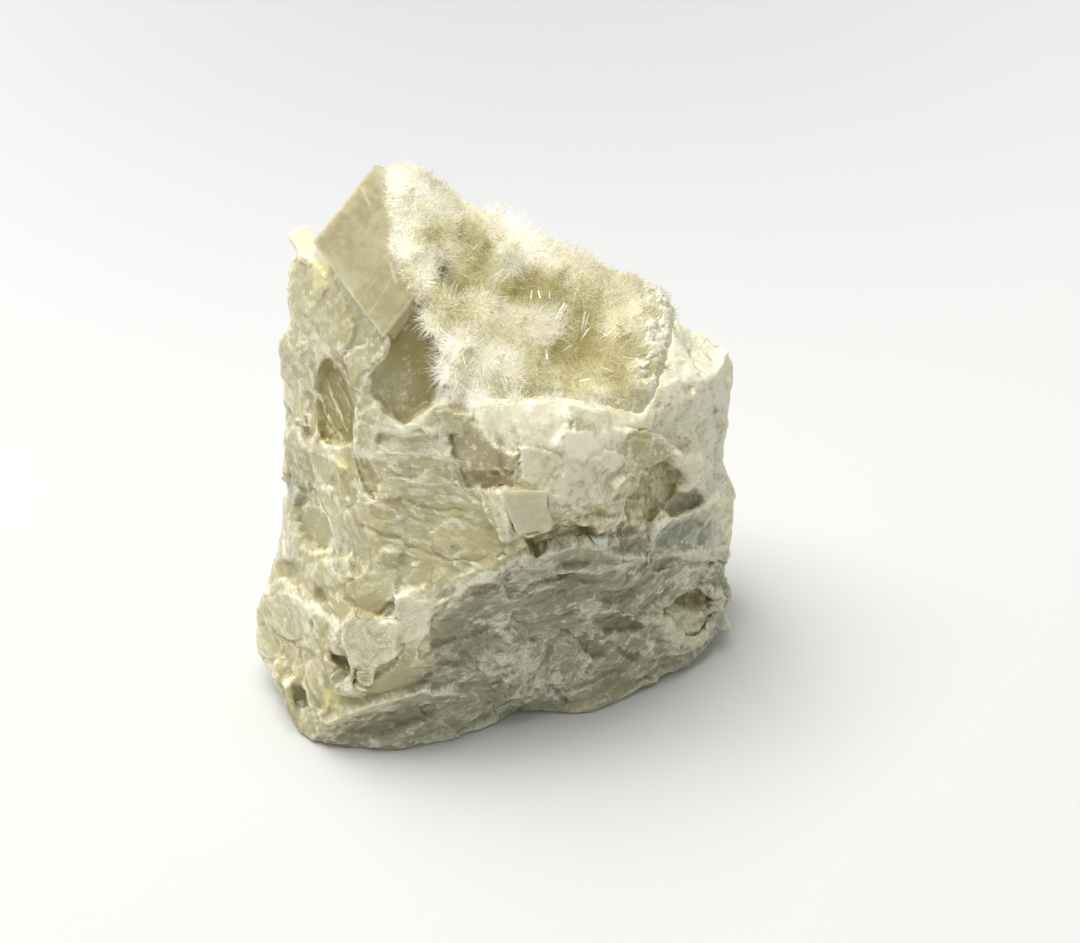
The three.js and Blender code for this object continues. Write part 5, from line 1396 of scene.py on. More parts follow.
# -------- clear crystals
@dataclass(frozen=True)
class ClearRhomb:
    """A crystal with three free edges, which start at one corner.

    Attributes:
        name: the piece.
        at: where that corner is seen.
        depth: that corner's Y, in millimetres.
        edges: each edge as across, up and toward, in millimetres.
        chip: how deep its edges are chipped, in millimetres.
        mesh_mm: the size of its faces, in millimetres.
        rough_mm: the size of the waves that its wear follows, in millimetres.
        step_mm: the shallow steps on its faces, along its edges, in millimetres.
        step_rise: half the height of a step, in millimetres.
        bruise: how white its edges are, and bruised how far from them that fades, in millimetres.
        marks: the white cleavage lines on its face, and glints painted on it in white.
    """

    name: str
    at: Pair
    depth: float
    edges: tuple[Triple, ...]
    chip: float = 0.35
    mesh_mm: float = 0.3
    rough_mm: float = 1.6
    step_mm: Triple = (6.0, 4.5, 4.0)
    step_rise: float = 0.06
    bruise: float = 0.4
    bruised: Pair = (0.1, 0.7)
    marks: tuple[Touch, ...] = ()

    @property
    def corner(self) -> Array:
        """The corner in space."""
        ray = np.array(SIGHT.ray(self.at))
        return SIGHT.eye + ray * (self.depth - SIGHT.eye[1]) / ray[1]

    @property
    def frame(self) -> Array:
        """A row for each edge."""
        return np.array(self.edges) @ np.stack((SIGHT.across, SIGHT.up, SIGHT.toward))

    def shares(self, points: Array) -> Array:
        """Where points lie along the three edges, in shares of them."""
        return (points - self.corner) @ np.linalg.inv(self.frame)

    def sink(self, points: Array, margin: float, front: float, depth: float) -> Array:
        """Moves the rock's corners that lie in the crystal to that depth inside it.

        Args:
            points: the rock's corners.
            margin: how far outside it they may lie, in millimetres.
            front: how far in front of its face they may lie, in millimetres.
            depth: how deep they are moved, in millimetres.

        Returns:
            The corners.
        """
        lengths = np.linalg.norm(self.frame, axis=1)
        shares = self.shares(points)
        before, behind = np.array((margin, margin, front)) / lengths, margin / lengths
        within = ((shares > -before) & (shares < 1 + behind)).all(axis=1)
        inner = np.clip(shares, depth / lengths, 1 - depth / lengths)
        return np.where(within[:, None], inner @ self.frame + self.corner, points)

    def build(self, finish: ClearCalciteFinish) -> Object:
        """Makes the crystal: flat faces with shallow steps, and chipped edges.

        Args:
            finish: its finish.

        Returns:
            The piece.
        """
        grown = bmesh.new()
        bmesh.ops.create_cube(grown, size=1.0)
        bmesh.ops.translate(grown, verts=grown.verts, vec=(0.5, 0.5, 0.5))
        longest = np.linalg.norm(self.frame, axis=1).max()
        bmesh.ops.subdivide_edges(grown, edges=grown.edges, cuts=int(longest / self.mesh_mm),
                                  use_grid_fill=True)
        rows = self.frame
        for vert in grown.verts:
            vert.co = Vector((np.array(vert.co) @ rows + self.corner) * MM)
        bmesh.ops.recalc_face_normals(grown, faces=grown.faces)
        piece = meshed(self.name, grown)
        skin = Skin(piece)
        lengths = np.linalg.norm(rows, axis=1)
        shares = self.shares(skin.points)
        from_side = np.minimum(shares, 1 - shares) * lengths
        # an edge is where the second nearest of the three pairs of sides is close
        to_edge = np.sort(from_side, axis=1)[:, 1]
        rough = swell(skin.points, self.rough_mm, 71, 3)
        inward = unit((np.full(3, 0.5) - shares) @ rows)
        worn = (1 - eased(to_edge, 0, 2.2 * self.chip)) * self.chip * (0.45 + 0.55 * rough)
        height = outcrops(shares * lengths / self.step_mm, 72)
        skin.points += (np.maximum(worn, 0) + self.step_rise * (height + 1))[:, None] * inward
        places = SIGHT.places(skin.points)
        bruise = self.bruise * (1 - eased(to_edge + 0.4 * rough, *self.bruised))
        # the marks add white cleavage lines and painted glints to the bruise
        for mark in self.marks:
            bruise += mark.tints[Tint.FROST] * mark.weight(places, 0.2 * rough)
        skin.store("bruise", np.clip(bruise, 0, 1))
        skin.write()
        dressed(piece, finish.made())
        return piece


@dataclass(frozen=True)
class ClearPlate:
    """A clear cleavage plate that lies on the rock, with a free outline.

    Attributes:
        name: the piece.
        outline: its corners, as seen.
        thick: how far it reaches into the rock, in millimetres.
        sunk: how deep the rock lies under its face, in millimetres.
        bevel: how wide its edges are worn, in millimetres.
        proud: how far its face stands out of the rock, in millimetres.
        probes: where between its middle and its corners the rock is felt for.
        border: how soft the edge of its bed is, and spread how far outside it that lies, in millimetres.
        near: from how far off its face the rock is no longer drawn back, in millimetres.
    """

    name: str
    outline: tuple[Pair, ...]
    thick: float = 3.0
    sunk: float = 1.4
    bevel: float = 0.15
    proud: float = 0.45
    probes: Pair = (0.35, 0.8)
    border: float = 0.5
    spread: float = 0.45
    near: Pair = (0.8, 2.0)

    def face(self, rock: BVHTree) -> list[Vector]:
        """Finds its face, on the plane that fits the rock there.

        Args:
            rock: the rock's solid.

        Returns:
            The face's corners.
        """
        outline = np.array(self.outline)
        middle = outline.mean(axis=0)
        eye = Vector(SIGHT.eye)
        hits = [SIGHT.hit(rock, tuple(middle + share * (c - middle)))[0]
                for c in outline for share in self.probes]
        spots = np.array([h for h in hits if h is not None])
        centre = spots.mean(axis=0) + self.proud * SIGHT.toward
        normal = np.linalg.svd(spots - centre)[2][2]
        rays = [SIGHT.ray(tuple(c)) for c in outline]
        return [eye + ray * float((centre - SIGHT.eye) @ normal / (np.array(ray) @ normal)) for ray in rays]

    def sink(self, points: Array, rock: BVHTree) -> Array:
        """Moves the rock's corners under the face back into the plate.

        Args:
            points: the rock's corners.
            rock: the rock's solid.

        Returns:
            The corners.
        """
        corners = np.array(self.face(rock))
        normal = unit(np.cross(corners[1] - corners[0], corners[2] - corners[0]))
        above = (points - corners.mean(axis=0)) @ normal
        inside = patch(self.outline, self.border).weight(SIGHT.places(points), self.spread)
        share = inside * (1 - eased(np.abs(above), *self.near))
        return points - (share * self.sunk)[:, None] * SIGHT.toward

    def build(self, rock: BVHTree, finish: ClearCalciteFinish) -> Object:
        """Makes the plate: a free face drawn back into the rock, with its edges bevelled.

        Args:
            rock: the rock's solid.
            finish: its finish.

        Returns:
            The piece.
        """
        grown = bmesh.new()
        ring = [grown.verts.new(corner * MM) for corner in self.face(rock)]
        front = grown.faces.new(ring)
        back = bmesh.ops.extrude_face_region(grown, geom=[front])
        moved = [g for g in back["geom"] if isinstance(g, bmesh.types.BMVert)]
        bmesh.ops.translate(grown, verts=moved, vec=Vector(-SIGHT.toward * self.thick * MM))
        bmesh.ops.recalc_face_normals(grown, faces=grown.faces)
        bmesh.ops.bevel(grown, geom=grown.edges, offset=self.bevel * MM, segments=2, profile=0.5,
                        affect="EDGES", material=-1)
        piece = meshed(self.name, grown)
        dressed(piece, finish.made())
        return piece


LARGE_RHOMB = ClearRhomb("large_rhomb", (-35.2, 35.4), -6.81,
                         ((9.1, 11.5, 0), (10.2, -14, 0.4), (4, 0, -11)), marks=(
    # the first four marks are glints painted white
    line(((-27.5, 43.6), (-26.2, 41)), 0.22, frost=1.2),
    line(((-27.1, 43.5), (-26.8, 43.2)), 0.35, frost=1.0),
    line(((-25.5, 42.4), (-25.1, 42.1)), 0.35, frost=1.0),
    line(((-23.1, 32.2), (-22.2, 29.2)), 0.3, frost=1.0),
    line(((-29.2, 27.9), (-26.9, 22.5)), 0.35, frost=0.6),
    line(((-33.5, 36.8), (-31.4, 32.8), (-28.9, 27.6)), 0.3, frost=0.3),
    line(((-30.8, 41), (-26.8, 36.8), (-23.4, 34.1)), 0.3, frost=0.25),
    line(((-26.8, 23.6), (-24.6, 26.7), (-22.5, 30.1)), 0.2, frost=0.55),
    line(((-28.2, 25.8), (-25.8, 29), (-23.1, 32.8)), 0.2, frost=0.4),
    line(((-25.5, 46.1), (-23.5, 41.8), (-22.6, 37.2), (-22, 32.2)), 1.0, frost=0.5),
))
PLATES = (
    ClearPlate("small_rhomb", ((-5.7, -2.8), (1.2, -3), (1.1, -5.2), (1.8, -7.6), (1.4, -8.7),
        (-3.4, -9.8), (-4.8, -6.7))),
)


def dressed(piece: Object, material: Material) -> None:
    """Gives a piece its finish and the body that it rides on.

    Args:
        piece: the piece.
        material: its finish.
    """
    piece.data.materials.clear()
    piece.data.materials.append(material)
    piece.data.polygons.foreach_set("material_index", np.zeros(len(piece.data.polygons), np.int32))
    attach(piece, BODY)


# -------- the rock
@dataclass
class CalciteRock:
    """The lump of cleaved calcite, carved over the frame's solid.

    Attributes:
        voxel: the size of its faces at the back; those at the front are half of that.
        front: how far a face must turn to the eye to count as the front.
        bowl_reach: how far the white of the crust of needles reaches over the rock.
        seeds_behind: how many domains are tried for where the eye doesn't see.
        sharp_deg: the angle from which an edge stays sharp.
        worn: how many rounds the solid is blurred before it is carved.
        cleft: how far a cleavage face may move the surface, in millimetres, as all lengths here.
        strays: the size and reach of the waves by which the touches' outlines stray.
        ragged: how far their borders are ragged.
        polish: how much of the relief a smooth face loses.
        sunk: how deep the relief's middle lies in the solid.
        foot, rim: the heights, and the distances to the crust, between which the relief starts.
        grazing: the turns to the eye between which a corner is seen.
        warp, wander: how far the domains' borders and their lattices stray.
        levels: the share of each size of cleavage block, and how many times finer it is.
        streak, swelling: how long the finest relief is drawn out, and how high the swells are.
        fine_crest, broad_crest, clouding: how white crests are bruised, and one part or another is.
        crust_white, crust_honey: what the rock beside the crust takes of each.
        hollow_shade_umber, hollow_shade_olive: how much umber and olive the hollows take, painted as their
            shade.
    """

    voxel: float = 0.74
    front: float = 0.2
    bowl_reach: float = 4.0
    seeds_behind: int = 46
    sharp_deg: float = 32.0
    worn: int = 2
    cleft: float = 1.6
    strays: tuple[Pair, ...] = ((4.5, 0.7), (1.4, 0.4))
    ragged: float = 0.45
    polish: float = 0.85
    sunk: float = 0.1
    foot: Pair = (0.05, 0.6)
    rim: Pair = (-0.4, 1.6)
    grazing: Pair = (-0.05, 0.15)
    warp: float = 2.2
    wander: float = 0.35
    levels: tuple[Pair, ...] = ((1.0, 1.0), (0.17, 2.1), (0.06, 4.4))
    streak: float = 6.0
    swelling: float = 0.45
    fine_crest: float = 1.3
    broad_crest: float = 0.5
    clouding: float = 0.34
    crust_white: float = 0.55
    crust_honey: float = 0.35
    hollow_shade_umber: float = 0.16
    hollow_shade_olive: float = 0.2
    piece: Object = field(init=False)
    skin: Skin = field(init=False)
    owner: Array = field(init=False)
    from_crust: Array = field(init=False)
    tints: Array = field(init=False)

    def build(self, finish: CalciteFinish) -> Object:
        """Carves, tints and dresses the rock.

        Args:
            finish: its finish.

        Returns:
            The piece.
        """
        self.piece = remeshed(ROCK_NODE, "calcite_rock", self.voxel)
        self.refine()
        self.skin = Skin(self.piece)
        solid = solid_tree(ROCK_NODE)
        self.skin.points = np.array([solid.find_nearest(Vector(p))[0] for p in self.skin.points])
        self.skin.points = self.skin.blurred(self.skin.points, self.worn)
        outward = unit(self.skin.blurred(self.skin.normals(), 3))
        seen = self.seen(outward)
        places = SIGHT.places(self.skin.points)
        for size, reach in self.strays:
            places += reach * self.swells(size, 5, 2, 2)
        ragged = self.ragged * swell(self.skin.points, 1.8, 8, 3)
        self.from_crust = self.away_from_crust()
        self.choose_domains(solid)
        self.tints = np.zeros((len(self.skin.points), len(Tint)))
        rise = np.zeros(len(self.skin.points))
        faces = []
        for touch in TOUCHES:
            weight = touch.weight(places, ragged) * seen
            if touch.form is Form.FACE:
                faces.append((weight, touch.rise))
            else:
                rise += touch.rise * weight
            for tint, much in touch.tints.items():
                self.tints[:, tint.value] += much * weight
        smooth = np.clip(self.tints[:, Tint.SMOOTH.value], 0, 1)
        relief = self.relief() * (1 - self.polish * smooth)
        flat = eased(self.skin.points[:, 2], *self.foot)
        lift = (relief + rise - self.sunk) * flat * eased(self.from_crust, *self.rim)
        self.skin.points += lift[:, None] * outward
        for weight, proud in faces:
            self.cleave(weight, proud)
        self.skin.points = LARGE_RHOMB.sink(self.skin.points, margin=0.3, front=3.0, depth=1.3)
        for plate in PLATES:
            self.skin.points = plate.sink(self.skin.points, solid)
        self.skin.points = held_in_box(self.skin.points)
        self.frost(smooth)
        self.skin.write()
        self.skin.store("tint_a", self.tints[:, :3])
        self.skin.store("tint_b", self.tints[:, 3:])
        self.lattice[:, 0] *= self.habit("short")
        self.skin.store("lattice", self.lattice)
        first, second = self.skin.ends.T
        torn = np.zeros(len(self.skin.points))
        torn[self.skin.ends[self.owner[first] != self.owner[second]].ravel()] = 1
        self.skin.store("whole", 1 - np.clip(2 * self.skin.blurred(torn, 2), 0, 1))
        self.piece.data.shade_smooth()
        self.piece.data.set_sharp_from_angle(angle=math.radians(self.sharp_deg))
        dressed(self.piece, finish.made())
        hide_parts(ROCK_NODE)
        return self.piece

    def habit(self, name: str) -> Array:
        """One number of its domain's habit for each corner."""
        return np.array([getattr(h, name) for h in self.habits])[self.owner]

    def swells(self, size: float, salt: int, octaves: int, count: int) -> Array:
        """A row of soft random waves for each corner, as swell makes them."""
        points = self.skin.points
        return np.stack([swell(points, size, salt + k, octaves) for k in range(count)], axis=1)

    def cleave(self, weight: Array, proud: float) -> None:
        """Flattens a part of the surface to a cleavage face.

        Args:
            weight: how much of the face each corner takes.
            proud: how far the face stands out of the plane that fits the surface, in millimetres.
        """
        inside = self.skin.points[weight > 0.5]
        if len(inside) < 12:
            return
        centre = inside.mean(axis=0)
        normal = np.linalg.svd(inside - centre)[2][2]
        normal *= np.sign(normal @ SIGHT.toward)
        over = np.clip((self.skin.points - centre) @ normal, -self.cleft, self.cleft)
        self.skin.points -= (weight * (over - proud))[:, None] * normal

    def refine(self) -> None:
        """Halves the faces that turn to the eye."""
        toward = Vector(SIGHT.toward)
        grown = bmesh.new()
        grown.from_mesh(self.piece.data)
        facing = {f for f in grown.faces if f.normal.dot(toward) > self.front}
        edges = [e for e in grown.edges if all(f in facing for f in e.link_faces)]
        bmesh.ops.subdivide_edges(grown, edges=edges, cuts=1, use_grid_fill=True)
        bmesh.ops.triangulate(grown, faces=grown.faces)
        grown.to_mesh(self.piece.data)
        grown.free()

    def seen(self, outward: Array) -> Array:
        """How well each corner is seen by the eye.

        Args:
            outward: the direction out of the rock at each corner.

        Returns:
            From 0 to 1 for each corner.
        """
        tree = self.skin.tree()
        eye = Vector(SIGHT.eye)
        shown = eased(outward @ SIGHT.toward, *self.grazing)
        for i in np.flatnonzero(shown > 0):
            start = Vector(self.skin.points[i] + 0.4 * outward[i])
            if tree.ray_cast(start, (eye - start).normalized(), 60.0)[0] is not None:
                shown[i] = 0
        return self.skin.blurred(shown, 2)

    def away_from_crust(self) -> Array:
        """How far each corner is from the crust of needles.

        Returns:
            The distance of each, up to the crust's reach.
        """
        tree = solid_tree(CRUST_NODE)
        near = [tree.find_nearest(Vector(p), self.bowl_reach)[3] for p in self.skin.points]
        return np.array([self.bowl_reach if d is None else d for d in near])

    def choose_domains(self, solid: BVHTree) -> None:
        """Gives each corner the nearest domain, with its place in that domain's lattice.

        Args:
            solid: the rock's solid.
        """
        habits, spots, frames = [], [], []
        for domain in DOMAINS:
            hit, normal, *_ = SIGHT.hit(solid, domain.at)
            if hit is None:
                continue
            habits.append(domain.kind.value)
            spots.append(np.array(hit))
            frames.append(self.lattice_frame(np.array(normal), SIGHT.turned(domain.fibres_deg)))
        kinds = list(Break)[:4]
        for k in range(self.seeds_behind):
            rise = 1 - (2 * k + 1) / self.seeds_behind
            turn = k * math.pi * (3 - math.sqrt(5))
            ring = math.sqrt(1 - rise * rise)
            ray = Vector((ring * math.cos(turn), ring * math.sin(turn), rise))
            start = Vector(HEART) + 120 * ray
            hit, normal, *_ = solid.ray_cast(start, -ray)
            if hit is None or normal.dot(Vector(SIGHT.toward)) > 0.15:
                continue
            habits.append(kinds[k % len(kinds)].value)
            spots.append(np.array(hit))
            fibres = np.array((math.cos(1.7 * k), math.sin(2.3 * k), 0.6 * math.sin(1.1 * k)))
            frames.append(self.lattice_frame(np.array(normal), fibres))
        self.habits, self.frames = habits, np.array(frames)
        wave = self.swells(6.0, 20, 3, 3)
        warped = self.skin.points + self.warp * wave
        spots = np.array(spots)
        away = np.stack([((warped - spot) ** 2).sum(axis=1) for spot in spots], axis=1)
        self.owner = away.argmin(axis=1)
        local = self.skin.points + self.wander * wave - spots[self.owner]
        self.lattice = np.einsum("nk,nik->ni", local, self.frames[self.owner])

    @staticmethod
    def lattice_frame(normal: Array, fibres: Array) -> Array:
        """The three lattice directions of a domain: along its fibres, across and through.

        Args:
            normal: the direction out of the rock.
            fibres: roughly the direction of the fibres.

        Returns:
            A row for each direction. They lean as calcite's cleavage does, and aren't square.
        """
        along = unit(fibres - 0.85 * (fibres @ normal) * normal)
        across = unit(np.cross(normal, along))
        through = np.cross(along, across)
        return np.stack((unit(along + 0.25 * across), across, unit(through + 0.2 * across)))

    def relief(self) -> Array:
        """The broken surface: cleavage blocks of three sizes, grain and swells.

        Returns:
            The height of each corner, in millimetres.
        """
        size, step = self.habit("block"), self.habit("step")
        total = np.zeros(len(size))
        ragged = 0.18 * self.swells(1.1, 50, 2, 3)
        for level, (share, finer) in enumerate(self.levels):
            total += share * step * outcrops((self.lattice + ragged) * finer / size, 30 + 10 * level)
        total += self.habit("grain") * swell(self.lattice / (self.streak, 1.0, 1.0), 0.9, 60, 3)
        total += self.swelling * swell(self.skin.points, 6.0, 64, 3)
        return total

    def frost(self, smooth: Array) -> None:
        """Adds the white of bruised crests, clears hollows and smooth faces, and paints shade into hollows
        with umber and olive.

        Args:
            smooth: how smooth each corner's face is, from 0 to 1.
        """
        fine, broad = self.skin.crest(2), self.skin.crest(14)
        clouds = swell(self.skin.points, 6.0, 80, 2)
        white = self.habit("frost") + self.fine_crest * np.clip(fine, -0.08, 0.12)
        white += self.broad_crest * np.clip(broad, -0.5, 0.5)
        white += self.clouding * clouds * (1 - 0.7 * smooth)
        white += self.crust_white * (1 - eased(self.from_crust, 0.2, self.bowl_reach))
        self.tints[:, Tint.FROST.value] += white
        # the rock between the needles is stained as they are
        self.tints[:, Tint.HONEY.value] += self.crust_honey * (1 - eased(self.from_crust, 0.3, 1.3))
        # hollows are painted darker with umber and olive, as their shade
        hollow = np.clip(-broad, 0, 0.8)
        self.tints[:, Tint.UMBER.value] *= 0.6
        self.tints[:, Tint.UMBER.value] += self.hollow_shade_umber * hollow
        stain = 0.1 * np.clip(swell(self.skin.points, 6, 94, 2), 0, 1)
        self.tints[:, Tint.OLIVE.value] += self.hollow_shade_olive * hollow + stain
        self.tints = np.clip(self.tints, -1, 1.5)
        self.tints[:, 1:] = np.clip(self.tints[:, 1:], 0, 1)


# -------- the needles
@dataclass(frozen=True)
class Spray:
    """A spray of needles that fan out from one point.

    Attributes:
        at: where it is seen.
        reach: the length of its longest needles, in millimetres.
        count: how many needles it has.
        pale: from 0, olive, to 1, white; its low values are partly painted shade in the hollow's depths.
    """

    at: Pair
    reach: float
    count: int
    pale: float


SPRAYS = (
    Spray((-15.4, 33.2), 3.2, 400, 0.7), Spray((-13.1, 32.8), 3.2, 400, 0.4),
    Spray((-14, 35), 3.2, 400, 0.6), Spray((-12, 30.1), 3.0, 300, 0.35),
    Spray((-14.5, 31.3), 3.2, 500, 0.6), Spray((-17.8, 32.8), 3.0, 400, 0.85),
    Spray((-9.8, 10.5), 2.2, 300, 1.0), Spray((-6.5, 10.1), 2.0, 250, 1.0),
    Spray((-1.5, 9.8), 2.0, 250, 1.0), Spray((3.4, 9.5), 2.0, 250, 1.0), Spray((8, 9.8), 2.0, 250, 0.9),
    Spray((-13.5, 12.2), 2.4, 300, 0.95), Spray((-21.7, 45.2), 2.6, 500, 0.95),
    Spray((-18.8, 43.6), 3.0, 500, 0.9), Spray((-15.7, 40.2), 3.4, 500, 0.85),
    Spray((-20.8, 38.4), 2.6, 400, 0.95), Spray((-20.8, 34.4), 3.0, 500, 0.95),
    Spray((-18.2, 30.7), 3.4, 500, 0.85), Spray((-14.6, 36.8), 4.0, 500, 0.55),
    Spray((-11.1, 34.5), 4.4, 500, 0.45), Spray((-11.8, 29.8), 3.0, 200, 0.15),
    Spray((-6.9, 38.7), 3.6, 500, 0.95), Spray((-3.7, 36.4), 3.8, 500, 0.95),
    Spray((-1.2, 34.1), 4.2, 600, 0.95), Spray((2.2, 33.3), 4.0, 500, 0.8),
    Spray((-5.1, 32.2), 4.0, 500, 0.8), Spray((6.2, 31), 4.2, 500, 0.75),
    Spray((-2.8, 28.4), 3.0, 150, 0.15), Spray((1.1, 26.8), 3.0, 200, 0.25),
    Spray((-9.8, 25.8), 4.8, 700, 0.65), Spray((-14.5, 25.9), 4.2, 500, 0.6),
    Spray((-16.6, 23.3), 3.4, 400, 0.8), Spray((-1.5, 22.5), 5.0, 800, 0.78),
    Spray((2, 22.8), 4.6, 500, 0.7), Spray((-5.4, 22.5), 4.2, 400, 0.7),
    Spray((6.3, 27.6), 4.2, 400, 0.55), Spray((10.3, 26.8), 3.8, 300, 0.7),
    Spray((8.5, 23), 3.6, 300, 0.35), Spray((6.6, 19.5), 3.2, 150, 0.05),
    Spray((8.8, 18.8), 3.0, 150, 0.05), Spray((4.2, 17.8), 3.6, 250, 0.25),
    Spray((-12.8, 19.5), 4.2, 600, 0.9), Spray((-14, 15.6), 3.8, 500, 0.95),
    Spray((-8.6, 17.2), 4.6, 600, 0.9), Spray((-4.9, 15.6), 4.4, 500, 0.85),
    Spray((-0.8, 15), 4.4, 400, 0.5), Spray((-2.2, 12.4), 3.2, 200, 0.25),
    Spray((3.8, 13.9), 4.2, 400, 0.45), Spray((8.8, 14.1), 3.8, 300, 0.4),
    Spray((11.1, 17.2), 3.4, 200, 0.45), Spray((11.7, 22.4), 3.2, 250, 0.7),
    Spray((-9.7, 11.6), 3.2, 500, 1.0), Spray((-3.8, 11), 3.0, 400, 0.85),
    Spray((2, 10.5), 3.0, 400, 0.9), Spray((7.4, 11.2), 2.8, 300, 0.75),
)


@dataclass(frozen=True)
class Prism:
    """A glassy prism that stands out of the needles.

    Attributes:
        foot: where it leaves them, as seen.
        tip: where it ends, as seen.
        wide: its width, in millimetres.
        lift: how far its tip stands over the needles, toward the eye, in millimetres.
    """

    foot: Pair
    tip: Pair
    wide: float
    lift: float = 2.7


PRISMS = (
    Prism((1.4, 21.6), (3.8, 25.8), 0.42, 2.4), Prism((1.8, 21.8), (4.2, 25.5), 0.3, 2.2),
    Prism((1.1, 21.3), (3.5, 21.2), 0.22), Prism((6.3, 21), (6.9, 24.4), 0.4, 2.2),
    Prism((6.6, 20.8), (7.4, 23.9), 0.25, 2.0), Prism((6, 19.8), (7.4, 21.8), 0.45, 2.2),
    Prism((-7.8, 29.5), (-5.5, 31), 0.32, 2.0), Prism((-6.3, 28.8), (-4.8, 30.2), 0.4, 2.0),
    Prism((-7.4, 28.8), (-6.2, 30.1), 0.25), Prism((-1.2, 28.2), (-1.4, 26.4), 0.3),
    Prism((-0.3, 28.1), (0, 26.5), 0.25), Prism((1.4, 28.1), (1.5, 26.4), 0.3),
    Prism((6.9, 30.8), (6.8, 33), 0.35, 2.0), Prism((-6.5, 35.8), (-7.7, 37.3), 0.35),
    Prism((-18.2, 28.8), (-16.5, 28.2), 0.3), Prism((-17.7, 29.3), (-16, 28.8), 0.22),
    Prism((5.1, 26.2), (5.8, 28.1), 0.22), Prism((0.9, 19), (1.1, 17.2), 0.35),
    Prism((-6, 17.6), (-4.3, 17.9), 0.25), Prism((-1.2, 15.3), (2.6, 15.2), 0.2),
    Prism((5.7, 13.8), (7.7, 14.2), 0.22), Prism((10.8, 22.8), (11.8, 22.7), 0.3),
    Prism((13.1, 16.2), (14.2, 16.8), 0.3), Prism((-19.4, 41.6), (-18.9, 39.8), 0.22),
    Prism((-14.3, 34.4), (-13.2, 35), 0.22), Prism((-13.7, 39), (-12.6, 39.3), 0.2),
    Prism((-12, 32.2), (-10.2, 32.8), 0.22), Prism((-11.1, 33.5), (-9.5, 34.7), 0.22),
    Prism((-3.8, 19.5), (-2.6, 20.5), 0.2), Prism((8.6, 18.4), (10.5, 19), 0.22),
    Prism((3.1, 18.4), (4.9, 19.3), 0.2), Prism((9.2, 16.2), (11.1, 15.3), 0.2),
)


